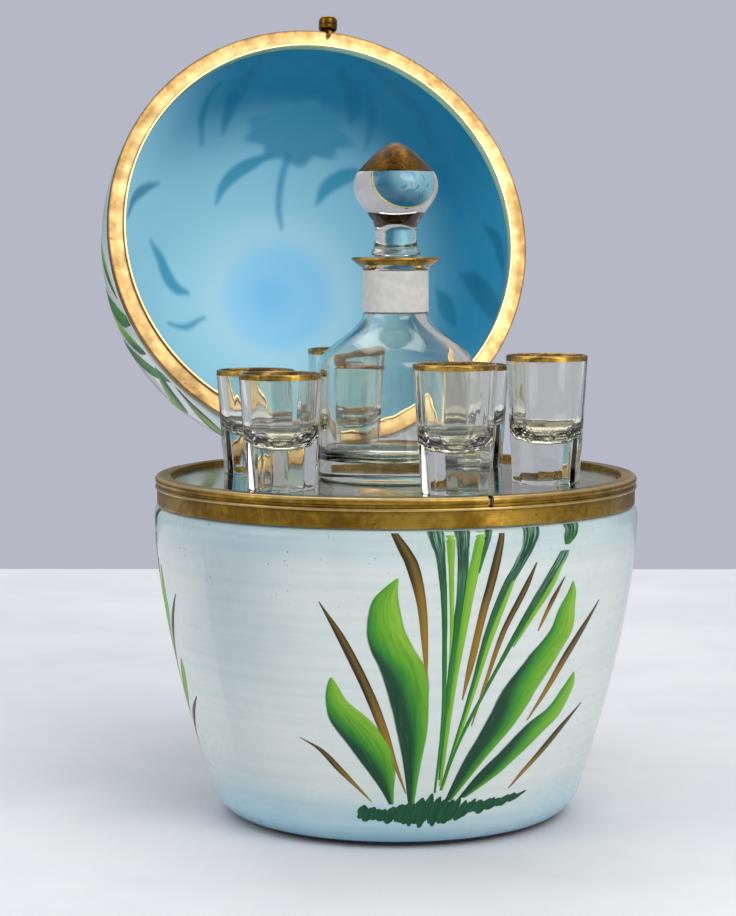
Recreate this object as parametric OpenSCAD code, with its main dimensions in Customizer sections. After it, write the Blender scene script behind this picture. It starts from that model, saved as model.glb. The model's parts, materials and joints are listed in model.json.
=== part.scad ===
// Egg-shaped glass casket for a liqueur set: a bowl with a mirror tray, a domed lid on a brass hinge,
// a decanter with its stopper, and a circle of small glasses. Millimetres, +Z up, the lid standing open.
// The origin is the centre of the bowl's foot, the hinge is at the back (+Y) and the clasp at the front.

/* [Bowl] */
// Outer radius of the brass ring round the mouth
ring_r = 110; // [109.5:0.1:111]
// Height of the joint between the bowl and the lid
joint_z = 156; // [150:1:165]
// Radius of the glass just under the brass ring
bowl_r = 110.6; // [110:0.1:111.4]
// How much narrower the bowl is at its lower corner
bowl_taper = 26; // [18:1:32]
// Height of the rounded lower corner
corner_h = 12; // [8:1:16]
// How far the lower corner is rounded in to the flat foot
corner_inset = 12.5; // [8:0.5:14]
// Thickness of the bowl's wall
bowl_wall = 5; // [4:0.5:6]
// Thickness of the bowl's bottom
bowl_floor = 10; // [7:1:14]
// Outer radius of the bowl's neck, hidden inside the brass ring
neck_r = 107; // [106.5:0.1:107.2]

/* [Brass rings] */
// Height of the ring round the bowl's mouth
ring_h = 13; // [12:0.5:15]
// Width of the ring's flat top face
ring_face = 7; // [6.5:0.1:7.2]
// Thickness of the ring's sheet brass
brass_t = 1.2; // [1:0.1:1.3]
// Radius of the rounded moulding at the ring's top edge
moulding_r = 1.8; // [1.2:0.1:2]
// Radius of the thin bead below it
bead_r = 0.9; // [0.6:0.1:1]
// Height of the lid's ring
lid_ring_h = 5; // [4.5:0.1:6]
// Gap between the two rings when the lid is shut
lid_gap = 0.25; // [0.2:0.05:0.5]
// How far the lid's seat ring drops inside the bowl's ring
seat_drop = 1.6; // [1:0.1:1.8]

/* [Tray] */
// Depth of the mirror plate below the ring's top
tray_depth = 2.2; // [2.1:0.1:2.6]
// Thickness of the mirror plate
plate_t = 3; // [2.5:0.5:3.5]
// Thickness of the board behind the mirror
backing_t = 2.2; // [1.5:0.1:2.5]
// Width of the ledge that carries the board
ledge_w = 6; // [4:0.5:10]

/* [Lid] */
// How far the lid stands open, in degrees
lid_open = 106; // [0:1:106]
// Outer radius of the dome where it leaves its ring
dome_r = 110.4; // [109.8:0.1:111]
// Height of the dome's outside above its widest place
dome_h = 156; // [154:1:170]
// Thickness of the dome's wall
dome_wall = 3.3; // [3:0.1:4]
// How far round from the front the clasp and the glasses are turned, in degrees
clasp_turn = 6; // [0:0.5:8]
// Radius of the clasp's knob
knob_r = 4.8; // [4:0.1:5.5]
// How far the knob stands out from the ring
knob_l = 9; // [7:0.5:10]

/* [Hinge] */
// Radius of the hinge knuckles
knuckle_r = 3; // [2.8:0.1:3.2]
// Radius of the hinge pin
pin_r = 1.4; // [1.2:0.1:1.6]
// Width of the whole hinge
hinge_w = 32; // [30:1:36]
// Radius of a rivet's head
rivet_r = 1; // [0.8:0.1:1]

/* [Decanter] */
// Radius of the decanter's body
decanter_r = 35.7; // [33:0.1:37]
// Height of the straight part of its body
decanter_body_h = 51.5; // [46:0.5:54]
// Height at which the shoulder has become the neck
decanter_neck_z = 75.5; // [73:0.5:78]
// Outer radius of the neck
decanter_neck_r = 14.9; // [14.5:0.1:16]
// Height of the decanter's lip
decanter_h = 100.6; // [99:0.2:103]
// Radius of the lip
lip_r = 20.2; // [18:0.1:21]
// Height of the lip's flare, with its edge
lip_t = 5.2; // [4.5:0.1:7]
// Thickness of the decanter's wall
decanter_wall = 3.6; // [3:0.1:4]
// Thickness of the decanter's base
decanter_floor = 8.5; // [6:0.5:12]

/* [Stopper] */
// Radius of the stopper's ball at its widest
ball_r = 19.3; // [18:0.1:20]
// Height of the ball's widest place above the tray
ball_z = 133.1; // [132.5:0.1:134]
// Height of the stopper's tip above the tray
stopper_tip_z = 152.6; // [151:0.2:153]
// Radius of the stem between the lip and the ball
stem_r = 9.8; // [9.6:0.1:10]
// Length of the ground plug inside the neck
plug_l = 20; // [16:1:22]

/* [Glasses] */
// Distance of each glass from the centre of the tray
glass_circle_r = 70.4; // [68:0.1:72]
// Radius of a glass at its rim
glass_r = 18.3; // [17.5:0.1:18.5]
// Radius of a glass at its foot
glass_foot_r = 15.2; // [14:0.1:16]
// Height of the glass at the front, the others being cut down from it
glass_h = 55.6; // [53:0.2:58]
// Thickness of the glass at the rim
glass_wall = 2; // [1.6:0.1:2.4]
// Thickness of the solid foot of a glass
glass_floor = 17.5; // [13:0.5:20]
// Number of flat panels cut round a glass
panels = 10; // [8:1:12]

/* [Hidden] */
$fn = 96;

// Extra length that lets a cutting tool pass through a face
over = 0.5;
// Colours of the finishes
opal = "#c3d5d8";
gilt_brass = "#c9922f";
plaster = "#d8d0bd";
clear = "#cfe0e2";

// Heights and radii in the bowl and its ring
tray_z = joint_z - tray_depth;
band_z = joint_z - ring_h;
ring_in_r = ring_r - ring_face;
lining_r = ring_in_r + brass_t;
wall_r = ring_r - moulding_r + 1;
wall_in_r = wall_r - 1;
shoulder_z = band_z - 5;
shoulder_h = 4.6;
neck_in_r = lining_r + 0.2;
neck_top_z = band_z + 6;
collar_in_r = ring_in_r - 1.3;
ledge_t = brass_t;
ledge_z = tray_z - plate_t - backing_t - ledge_t;
bowl_curve = 1.6;
profile_steps = 24;
corner_steps = 8;
shoulder_steps = 6;

// Heights and radii in the lid, shut
lid_z = joint_z + lid_gap;
spring_z = lid_z + lid_ring_h + 0.35;
lid_in_r = ring_in_r - 0.8;
lid_lining_r = lid_in_r + 1;
lid_neck_r = lid_lining_r + 3.4;
lid_wall_in_r = ring_r - 1;
seat_t = 1.1;
lid_plaster_t = 1;

// The hinge's axis and its knuckles, which run along X
hinge_y = ring_r + knuckle_r + 0.6;
hinge_z = joint_z + 0.1;
pin_clear = 0.06;
end_knuckle_w = 6;
side_gap = 0.2;
lid_knuckle_x = [3 + side_gap, hinge_w / 2 - end_knuckle_w - side_gap];
base_knuckle_x = [[-hinge_w / 2, -hinge_w / 2 + end_knuckle_w], [-3, 3],
    [hinge_w / 2 - end_knuckle_w, hinge_w / 2]];
leaf_y = wall_r + 2.2;
rivet_places = [-13, 0, 13];
rivet_shank_r = 0.7;
base_rivet_z = band_z + 3.6;
lid_rivet_z = lid_z + 3.7;

// The slot in the bowl's ring and the tongue that drops into it
slot_w = 2.3;
slot_h = 4.6;
slot_depth = 3.6;
tongue_w = 1.5;
tongue_h = 3.6;
tongue_depth = 2.2;

// The decanter and its stopper, measured from the face that they stand on
stand_gap = 0.05;
stand_z = tray_z + stand_gap;
lip_edge = 1.4;
fit_gap = 0.3;
plug_top_r = stem_r;
plug_end_r = stem_r - 0.8;
plug_z = decanter_h - plug_l;
shoulder_run = decanter_neck_z - decanter_body_h;
waist_r = 9.4;
ball_drop = 20.7;
ball_rise = 14.2;
cap_z = ball_z + 6.2;
cap_inset = 0.3;
cap_bulge = 0.65;
cap_steps = 10;

// Where each glass stands: degrees round from the clasp, and how far it is cut down
glass_places = [[0, 0], [53, -1.5], [127.7, 7], [179, -0.5], [227.5, 7.5], [293, 5]];

// Outer radius of the bowl at height z
function bowl_out(z) = bowl_r
    - bowl_taper * pow(max(0, 1 - (z - corner_h) / (shoulder_z - corner_h)), bowl_curve)
    - corner_inset * (1 - sqrt(1 - pow(max(0, (corner_h - z) / corner_h), 2)));

// Radius of a half ellipsoid at the part t of its height
function dome_at(r, t) = r * sqrt(max(0, 1 - t * t));

// The decanter's outer radius at height z: body, then a shoulder that bends out and in again, then neck
function decanter_out(z) = let (t = max(0, min(1, (z - decanter_body_h) / shoulder_run)))
    decanter_neck_r + (decanter_r - decanter_neck_r) * (1 - t * t * (3 - 2 * t));

// A point of the stopper's ball above its widest place, at angle a: a flat half ellipse
function ball_above(a) = [ball_r * cos(a), ball_z + ball_rise * sin(a)];

// A point of the ball below its widest place, at the part t of the way down to the waist
function ball_below(t) = let (s = pow(t, 1.1))
    [waist_r + (ball_r - waist_r) * (1 - s * s * (3 - 2 * s)), ball_z - ball_drop * t];

// Points of an arc in the profile plane, from angle a0 to a1
function arc(r, z, radius, a0, a1, steps) = [for (i = [0:steps])
    let (a = a0 + (a1 - a0) * i / steps) [r + radius * cos(a), z + radius * sin(a)]];

// Turns what is drawn for the shut lid to the angle at which the lid stands open
module opened() {
    translate([0, hinge_y, hinge_z])
        rotate([-lid_open, 0, 0])
        translate([0, -hinge_y, -hinge_z])
        children();
}

// Turns what is drawn at the front (-Y) round to the clasp
module at_clasp() {
    rotate([0, 0, clasp_turn]) children();
}

// A tube between two radii and two heights
module ring(r_in, r_out, z0, z1) {
    translate([0, 0, z0]) difference() {
        cylinder(r = r_out, h = z1 - z0);
        translate([0, 0, -over]) cylinder(r = r_in, h = z1 - z0 + 2 * over);
    }
}

// A bar along X between two places, in the hinge's knuckle position
module knuckle(x0, x1) {
    translate([x0, hinge_y, hinge_z]) rotate([0, 90, 0]) cylinder(r = knuckle_r, h = x1 - x0);
}

// The hole through all the knuckles
module pin_hole(r) {
    translate([-hinge_w, hinge_y, hinge_z]) rotate([0, 90, 0]) cylinder(r = r, h = 2 * hinge_w);
}

// The bowl of opaline glass, with its neck inside the ring
module base_bowl() {
    outer = [for (i = [0:corner_steps])
        let (z = corner_h * (1 - cos(90 * i / corner_steps))) [bowl_out(z), z]];
    side = [for (i = [1:profile_steps])
        let (z = corner_h + (shoulder_z - corner_h) * i / profile_steps) [bowl_out(z), z]];
    shoulder = [for (i = [1:shoulder_steps]) let (a = 90 * i / shoulder_steps)
        [neck_r + (bowl_r - neck_r) * cos(a), shoulder_z + shoulder_h * sin(a)]];
    inside = [for (i = [profile_steps:-1:0])
        let (z = bowl_floor + (shoulder_z - bowl_floor) * i / profile_steps) [bowl_out(z) - bowl_wall, z]];
    color(opal) rotate_extrude() polygon(concat([[0, 0]], outer, side, shoulder,
        [[neck_r, neck_top_z], [neck_in_r, neck_top_z], [neck_in_r, shoulder_z + bowl_wall]],
        inside, [[0, bowl_floor]]));
}

// The plaster that beds the ring on the neck
module base_rim_plaster() {
    color(plaster) difference() {
        union() {
            ring(neck_r, wall_in_r, band_z + 0.6, neck_top_z);
            ring(lining_r, wall_in_r, neck_top_z, joint_z - brass_t);
        }
        clasp_slot();
    }
}

// The slot for the lid's tongue
module clasp_slot() {
    at_clasp() translate([-slot_w / 2, -ring_r - over, joint_z - slot_h])
        cube([slot_w, slot_depth + over, slot_h + over]);
}

// The ring round the bowl's mouth: a channel of brass with a rounded top edge, a bead and a rolled foot
module base_rim_band() {
    bead_a = acos(0.1 / bead_r);
    moulding_a = acos((wall_r - ring_r + moulding_r) / moulding_r);
    color(gilt_brass) difference() {
        rotate_extrude() polygon(concat(
            [[ring_in_r, band_z], [lining_r, band_z], [lining_r, joint_z - brass_t],
            [wall_in_r, joint_z - brass_t]],
            arc(wall_in_r + 0.5, band_z + 0.5, 0.5, 180, 360, 6),
            arc(wall_r - 0.1, joint_z - 2 * moulding_r - 1.5, bead_r, -bead_a, bead_a, 8),
            arc(ring_r - moulding_r, joint_z - moulding_r, moulding_r, -moulding_a, 90, 10),
            [[ring_in_r, joint_z]]));
        clasp_slot();
    }
}

// The ring soldered inside, with the ledge that carries the tray
module tray_collar() {
    color(gilt_brass) {
        ring(collar_in_r, ring_in_r, band_z, tray_z);
        ring(collar_in_r - ledge_w, collar_in_r, ledge_z, ledge_z + ledge_t);
    }
}

// The board behind the mirror, standing on the ledge
module plate_backing() {
    color("#6b4a2e") translate([0, 0, tray_z - plate_t - backing_t])
        cylinder(r = collar_in_r - 0.3, h = backing_t);
}

// The mirror plate, with a bevelled edge
module tray_plate() {
    bevel = 0.6;
    color("#b9c2c4") translate([0, 0, tray_z - plate_t]) {
        cylinder(r = collar_in_r - 0.2, h = plate_t - bevel);
        translate([0, 0, plate_t - bevel])
            cylinder(r1 = collar_in_r - 0.2, r2 = collar_in_r - 0.2 - bevel, h = bevel);
    }
}

// The strip behind the ring that carries the base's knuckles, with the lug that stops the lid
module hinge_base_leaf() {
    leaf_top = joint_z - 2 * moulding_r - bead_r - 1.6;
    riser_y = ring_r + 0.4;
    lug_y = hinge_y + 4;
    color(gilt_brass) difference() {
        union() {
            difference() {
                translate([-hinge_w / 2, ring_r - 6, band_z + 0.6])
                    cube([hinge_w, leaf_y - ring_r + 6, leaf_top - band_z - 0.6]);
                translate([0, 0, band_z - over]) cylinder(r = wall_r, h = ring_h);
            }
            // The strip above, which clears the bead, and the shelf under the lid's knuckles
            translate([-hinge_w / 2, riser_y, leaf_top - 2])
                cube([hinge_w, lug_y + 1.6 - riser_y, 2]);
            for (x = base_knuckle_x) {
                knuckle(x[0], x[1]);
                translate([x[0], riser_y, leaf_top - 1])
                    cube([x[1] - x[0], hinge_y - riser_y, hinge_z - leaf_top + 1]);
            }
            for (side = [-1, 1]) translate([side * (lid_knuckle_x[0] + lid_knuckle_x[1]) / 2 - 2.5, lug_y,
                leaf_top - 1]) cube([5, 1.6, hinge_z - 1.8 - leaf_top + 1]);
        }
        pin_hole(pin_r + 0.01);
        rivet_holes(base_rivet_z);
    }
}

// Holes for the rivets of one leaf
module rivet_holes(z) {
    for (x = rivet_places) translate([x, ring_r - 8, z]) rotate([-90, 0, 0])
        cylinder(r = rivet_shank_r, h = 16, $fn = 24);
}

// Three rivets with domed heads: each shank ends on the ring's outside
module rivets(z, face_r) {
    head_h = 0.7;
    sphere_r = (rivet_r * rivet_r + head_h * head_h) / (2 * head_h);
    color("#8f6420") difference() {
        for (x = rivet_places) {
            translate([x, ring_r - 6, z]) rotate([-90, 0, 0])
                cylinder(r = rivet_shank_r, h = leaf_y - ring_r + 6, $fn = 24);
            translate([x, leaf_y, z]) intersection() {
                translate([0, head_h - sphere_r, 0]) sphere(r = sphere_r, $fn = 32);
                rotate([-90, 0, 0]) cylinder(r = 2 * rivet_r, h = 2 * head_h);
            }
        }
        translate([0, 0, z - 4]) cylinder(r = face_r, h = 8);
    }
}

// The rivets of the base's leaf
module hinge_base_rivets() {
    rivets(base_rivet_z, wall_r);
}

// The hinge pin, with a flat head at each end
module hinge_pin() {
    head_t = 0.8;
    color("#8f6420") translate([0, hinge_y, hinge_z]) rotate([0, 90, 0]) {
        cylinder(r = pin_r, h = hinge_w, center = true);
        for (end = [-1, 1]) translate([0, 0, end * (hinge_w + head_t) / 2])
            cylinder(r = pin_r + 0.7, h = head_t, center = true);
    }
}

// The lid's dome of opaline glass, a long half egg with a short neck inside its ring
module lid_dome() {
    inner_r = dome_r - dome_wall;
    inner_h = dome_h - dome_wall;
    foot_z = lid_z + brass_t + lid_plaster_t;
    outside = [for (i = [0:profile_steps + 8]) let (a = 90 * i / (profile_steps + 8))
        [dome_at(dome_r, sin(a)), spring_z + 1 + (dome_h - 1) * sin(a)]];
    inside = [for (i = [profile_steps + 8:-1:1]) let (a = 90 * i / (profile_steps + 8))
        [dome_at(inner_r, sin(a)), spring_z + 2.4 + (inner_h - 2.4) * sin(a)]];
    color(opal) opened() rotate_extrude() polygon(concat(
        [[lid_lining_r, foot_z], [lid_neck_r, foot_z], [lid_neck_r, spring_z], [dome_r - 1, spring_z]],
        outside, inside, [[inner_r, spring_z + 2.4], [lid_lining_r, spring_z - 0.6]]));
}

// The plaster that beds the lid's ring
module lid_rim_plaster() {
    foot_z = lid_z + brass_t;
    color(plaster) opened() {
        ring(lid_lining_r, lid_wall_in_r, foot_z, foot_z + lid_plaster_t);
        ring(lid_neck_r, lid_wall_in_r, foot_z + lid_plaster_t, lid_z + lid_ring_h - 0.4);
    }
}

// The lid's ring: a shallow channel of brass with a rolled top edge
module lid_rim_band() {
    lining_top = lid_z + lid_ring_h - 0.7;
    color(gilt_brass) opened() rotate_extrude() polygon(concat(
        [[lid_in_r, lining_top], [lid_in_r, lid_z], [ring_r - 0.3, lid_z], [ring_r, lid_z + 0.3]],
        arc(ring_r - 0.5, lid_z + lid_ring_h - 0.5, 0.5, 0, 180, 6),
        [[lid_wall_in_r, lid_z + brass_t], [lid_lining_r, lid_z + brass_t], [lid_lining_r, lining_top]]));
}

// The thin ring inside the lid's ring, which drops into the bowl's ring and seats the lid
module lid_seat_ring() {
    color("#e3b25a") opened()
        ring(lid_in_r - seat_t, lid_in_r, joint_z - seat_drop, lid_z + lid_ring_h - 0.7);
}

// The strip behind the lid's ring, with the lid's knuckles
module hinge_lid_leaf() {
    riser_y = ring_r + 0.4;
    leaf_top = lid_z + lid_ring_h - 0.2;
    color(gilt_brass) opened() difference() {
        union() {
            difference() {
                translate([-hinge_w / 2, ring_r - 6, lid_z + 0.6])
                    cube([hinge_w, leaf_y - ring_r + 6, leaf_top - lid_z - 0.6]);
                translate([0, 0, lid_z - over]) cylinder(r = ring_r, h = 2 * lid_ring_h);
                for (x = base_knuckle_x) translate([x[0] - side_gap, hinge_y, hinge_z]) rotate([0, 90, 0])
                    cylinder(r = knuckle_r + 0.3, h = x[1] - x[0] + 2 * side_gap);
            }
            for (side = [0, 1]) mirror([side, 0, 0]) {
                knuckle(lid_knuckle_x[0], lid_knuckle_x[1]);
                translate([lid_knuckle_x[0], riser_y, hinge_z])
                    cube([lid_knuckle_x[1] - lid_knuckle_x[0], hinge_y - riser_y, leaf_top - hinge_z]);
            }
        }
        pin_hole(pin_r + pin_clear);
        rivet_holes(lid_rivet_z);
    }
}

// The rivets of the lid's leaf
module hinge_lid_rivets() {
    opened() rivets(lid_rivet_z, ring_r);
}

// The knob on the lid's ring, a turned barrel on a short neck, whose axis runs out from the ring
module clasp_knob() {
    neck_l = 1.6;
    end_round = 2.2;
    foot_round = 1.4;
    color(gilt_brass) opened() at_clasp() difference() {
        translate([0, -ring_r, lid_z + lid_ring_h / 2]) rotate([90, 0, 0]) rotate_extrude()
            polygon(concat([[0, -3], [knob_r - 1.7, -3], [knob_r - 1.7, neck_l]],
                arc(knob_r - foot_round, neck_l + foot_round, foot_round, -90, 0, 5),
                arc(knob_r - end_round, knob_l - end_round, end_round, 0, 90, 6), [[0, knob_l]]));
        translate([0, 0, lid_z - lid_ring_h]) cylinder(r = ring_r, h = 4 * lid_ring_h);
    }
}

// The tongue under the knob, which drops into the slot of the bowl's ring
module clasp_tongue() {
    color("#8f6420") opened() at_clasp()
        translate([-tongue_w / 2, -ring_r + 0.7, lid_z - tongue_h])
        cube([tongue_w, tongue_depth, tongue_h]);
}

// The clear decanter, with a thick base, a shoulder that bends smoothly into the neck, and a flared lip
module decanter() {
    outline = [for (i = [0:profile_steps]) let (z = decanter_body_h + shoulder_run * i / profile_steps)
        [decanter_out(z), z]];
    cavity = [for (i = [profile_steps:-1:0]) let (z = decanter_body_h - 1 + shoulder_run * i / profile_steps)
        [min(max(decanter_out(z + 1) - decanter_wall, plug_end_r + fit_gap), decanter_r - decanter_wall), z]];
    lip_z = decanter_h - lip_t;
    color(clear, 0.5) translate([0, 0, stand_z]) rotate_extrude() polygon(concat(
        [[0, 0]], arc(decanter_r - 1.5, 1.5, 1.5, -90, 0, 4), outline,
        [[decanter_neck_r, lip_z - 2], [decanter_neck_r + 0.6, lip_z]],
        arc(lip_r - lip_edge / 2, decanter_h - lip_edge / 2, lip_edge / 2, -60, 90, 6),
        [[plug_top_r + fit_gap, decanter_h], [plug_end_r + fit_gap, plug_z]],
        cavity, arc(decanter_r - decanter_wall - 5, decanter_floor + 5, 5, 0, -90, 5),
        [[0, decanter_floor]]));
}

// The stopper: a ground plug, a flared stem, a waist, a ball and a cone-shaped cap
module stopper() {
    ball_steps = 16;
    cap_a = asin((cap_z - ball_z) / ball_rise);
    stem = [[plug_top_r, decanter_h + 0.8], [stem_r + 1.4, decanter_h + 1.4], [stem_r + 1.2, decanter_h + 2.6],
        [stem_r + 0.2, decanter_h + 5], [stem_r - 0.2, decanter_h + 8]];
    below = [for (i = [ball_steps:-1:1]) ball_below(i / ball_steps)];
    above = [for (i = [0:6]) ball_above(cap_a * i / 6)];
    cap = [for (i = [0:cap_steps]) let (t = i / cap_steps)
        [(ball_r * cos(cap_a) - cap_inset) * pow(1 - t, cap_bulge), cap_z + (stopper_tip_z - cap_z) * t]];
    color(clear, 0.6) translate([0, 0, stand_z]) rotate_extrude() polygon(concat(
        [[0, plug_z], [plug_end_r - 0.6, plug_z], [plug_end_r, plug_z + 0.6], [plug_top_r, decanter_h]],
        stem, below, above, cap));
}

// A glass with a heavy foot and flat panels cut round it, standing in its place on the tray
module small_glass(place) {
    turn = clasp_turn + glass_places[place][0];
    tall = glass_h - glass_places[place][1];
    cavity_r = glass_foot_r + (glass_r - glass_foot_r) * glass_floor / glass_h - glass_wall;
    round_r = 4;
    flat_r = glass_foot_r * cos(180 / panels);
    panel_tilt = atan((glass_r - flat_r) / tall);
    color(clear, 0.5) rotate([0, 0, turn]) translate([0, -glass_circle_r, stand_z]) difference() {
        rotate_extrude() polygon(concat(
            [[0, 0], [glass_foot_r - 0.8, 0], [glass_foot_r, 0.8], [glass_r, tall - 0.8],
            [glass_r - 0.5, tall], [glass_r - glass_wall + 0.5, tall], [glass_r - glass_wall, tall - 0.6]],
            arc(cavity_r - round_r, glass_floor + round_r, round_r, 0, -90, 6),
            [[0, glass_floor]]));
        for (i = [0:panels - 1]) rotate([0, 0, 360 * i / panels]) translate([0, -flat_r, 0])
            rotate([panel_tilt, 0, 0]) translate([-glass_r, -glass_r, -2 * over])
            cube([2 * glass_r, glass_r, 2 * glass_h]);
    }
}

base_bowl();
base_rim_plaster();
base_rim_band();
tray_collar();
plate_backing();
tray_plate();
hinge_base_leaf();
hinge_base_rivets();
hinge_pin();
lid_dome();
lid_rim_plaster();
lid_rim_band();
lid_seat_ring();
hinge_lid_leaf();
hinge_lid_rivets();
clasp_knob();
clasp_tongue();
decanter();
stopper();
small_glass(0);  // glass_front
small_glass(1);  // glass_front_right
small_glass(2);  // glass_back_right
small_glass(3);  // glass_back
small_glass(4);  // glass_back_left
small_glass(5);  // glass_front_left
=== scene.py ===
"""Looks of an egg-shaped opaline glass casket for a liqueur set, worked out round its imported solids.

Sizes in the classes are millimetres and meshes are metres, +Z up. The front with the clasp is -Y, the hinge is at
the back, and the lid stands open. Angles go round from the front towards +X, in degrees. Points of the lid are
worked out as if it were shut and then turned open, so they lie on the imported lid.
"""
import json
import logging
import math
from dataclasses import dataclass, field
from enum import Enum
from typing import Callable, Sequence

import bmesh
import bpy
import numpy as np
from mathutils import Matrix, Quaternion, Vector


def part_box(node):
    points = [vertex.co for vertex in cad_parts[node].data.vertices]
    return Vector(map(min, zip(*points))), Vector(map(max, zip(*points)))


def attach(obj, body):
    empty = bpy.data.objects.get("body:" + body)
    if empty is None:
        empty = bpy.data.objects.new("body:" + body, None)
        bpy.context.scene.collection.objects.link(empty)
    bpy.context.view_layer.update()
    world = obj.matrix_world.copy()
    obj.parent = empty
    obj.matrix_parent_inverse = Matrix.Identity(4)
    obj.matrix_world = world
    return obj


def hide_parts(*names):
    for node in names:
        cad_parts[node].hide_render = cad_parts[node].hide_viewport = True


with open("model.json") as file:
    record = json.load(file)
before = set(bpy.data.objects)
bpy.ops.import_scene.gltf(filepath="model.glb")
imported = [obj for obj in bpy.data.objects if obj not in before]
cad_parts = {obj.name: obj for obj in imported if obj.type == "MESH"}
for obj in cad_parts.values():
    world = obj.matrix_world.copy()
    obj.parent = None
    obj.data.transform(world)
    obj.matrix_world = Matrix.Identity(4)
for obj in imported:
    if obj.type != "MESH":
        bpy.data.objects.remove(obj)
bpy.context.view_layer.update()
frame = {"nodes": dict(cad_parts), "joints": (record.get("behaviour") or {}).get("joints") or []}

Array = np.ndarray
Socket = bpy.types.NodeSocket
MM = 0.001
SEED = 71
log = logging.getLogger("casket")


class Slot(Enum):
    """The record's material slots."""

    OPALINE = "opaline"
    PLASTER = "plaster"
    RING_BRASS = "ring_brass"
    BRIGHT_BRASS = "bright_brass"
    DARK_BRASS = "dark_brass"
    BOARD = "board"
    MIRROR = "mirror"
    GLASS = "clear_glass"


# Numbers and curves

def rgb(code: str) -> tuple[float, float, float, float]:
    """A colour written as it should look, such as #c3d5d8, in the linear form that shaders take."""
    parts = [int(code[i:i + 2], 16) / 255 for i in (1, 3, 5)]
    return tuple(p / 12.92 if p <= 0.04045 else ((p + 0.055) / 1.055) ** 2.4 for p in parts) + (1.0,)


def smooth(low: float, high: float, value: Array) -> Array:
    """A soft step from 0 at low to 1 at high."""
    t = np.clip((value - low) / (high - low), 0, 1)
    return t * t * (3 - 2 * t)


def blend(a: Array, b: Array, t: Array) -> Array:
    """Mixes colours a and b, t being 0 for a and 1 for b."""
    t = np.asarray(t)[..., None]
    return np.asarray(a) * (1 - t) + np.asarray(b) * t


def spline(points: Sequence[Sequence[float]], count: int) -> Array:
    """A Catmull-Rom curve through a few points.

    Args:
        points: the points that it goes through, each with any number of values.
        count: how many points to give back, evenly shared between the given ones.

    Returns:
        The curve's points, one row each: between points 1 and 2 it is a cubic whose slope at each of them is half
        the step from the point before to the point after.
    """
    p = np.asarray(points, float)
    p = np.vstack([2 * p[0] - p[1], p, 2 * p[-1] - p[-2]])
    t = np.linspace(0, len(points) - 1, count)
    i = np.minimum(t.astype(int), len(points) - 2)
    t = (t - i)[:, None]
    a, b, c, d = p[i], p[i + 1], p[i + 2], p[i + 3]
    return b + 0.5 * t * (c - a + t * (2 * a - 5 * b + 4 * c - d + t * (3 * (b - c) + d - a)))


def arc(r: float, z: float, radius: float, start: float, end: float, steps: int) -> Array:
    """Points of an arc round (r, z) in the profile plane, from angle start to end in degrees."""
    a = np.radians(np.linspace(start, end, steps + 1))
    return np.stack([r + radius * np.cos(a), z + radius * np.sin(a)], 1)


def rounded(corners: Sequence[tuple[float, float, float]], steps: int = 4) -> Array:
    """A profile whose corners are rounded.

    Args:
        corners: (r, z, rounding) of each corner in turn; a rounding of 0 leaves the corner sharp.
        steps: faces on each rounding.

    Returns:
        The profile's points. Each corner becomes a quadratic curve that leaves and meets the sides at the given
        distance from the corner, or at under half the side's length.
    """
    c = np.asarray(corners, float)
    out = []
    for i, (r, z, size) in enumerate(c):
        here, back, ahead = c[i, :2], c[i - 1, :2], c[(i + 1) % len(c), :2]
        if size == 0:
            out.append(here[None])
            continue
        near = [here + (p - here) * min(size / np.linalg.norm(p - here), 0.48) for p in (back, ahead)]
        t = np.linspace(0, 1, steps + 1)[:, None]
        out.append((1 - t) ** 2 * near[0] + 2 * t * (1 - t) * here + t * t * near[1])
    return np.vstack(out)


def finer(profile: Array, step: float) -> Array:
    """Adds points along a profile so that none of its sides is longer than step."""
    run = np.concatenate([[0], np.cumsum(np.hypot(*np.diff(profile, axis=0).T))])
    marks = np.unique(np.round(np.concatenate([run, np.arange(0, run[-1], step)]), 4))
    return np.stack([np.interp(marks, run, profile[:, k]) for k in (0, 1)], 1)


def skin(line: Array, out: float, sunk: float) -> Array:
    """A thin closed section along a line, out millimetres to its right and sunk millimetres to its left."""
    way = np.gradient(line, axis=0)
    normal = np.stack([way[:, 1], -way[:, 0]], 1) / np.hypot(*way.T)[:, None]
    return np.vstack([line + normal * out, (line - normal * sunk)[::-1]])


def turned(profile: Array, degrees: Array) -> Array:
    """Turns a profile of (r, z) points about +Z: a point goes to (r sin a, -r cos a, z) at each angle a."""
    a = np.radians(degrees)[None, :]
    r, z = profile[:, :1], profile[:, 1:]
    return np.stack([r * np.sin(a), -r * np.cos(a), z + 0 * a], -1)


def around(count: int, extra: Sequence[float] = ()) -> Array:
    """Angles all the way round, evenly spaced, with a few extra ones put in."""
    return np.unique(np.round(np.concatenate([np.arange(count) * 360 / count, np.mod(extra, 360)]), 5))


# Meshes

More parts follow.
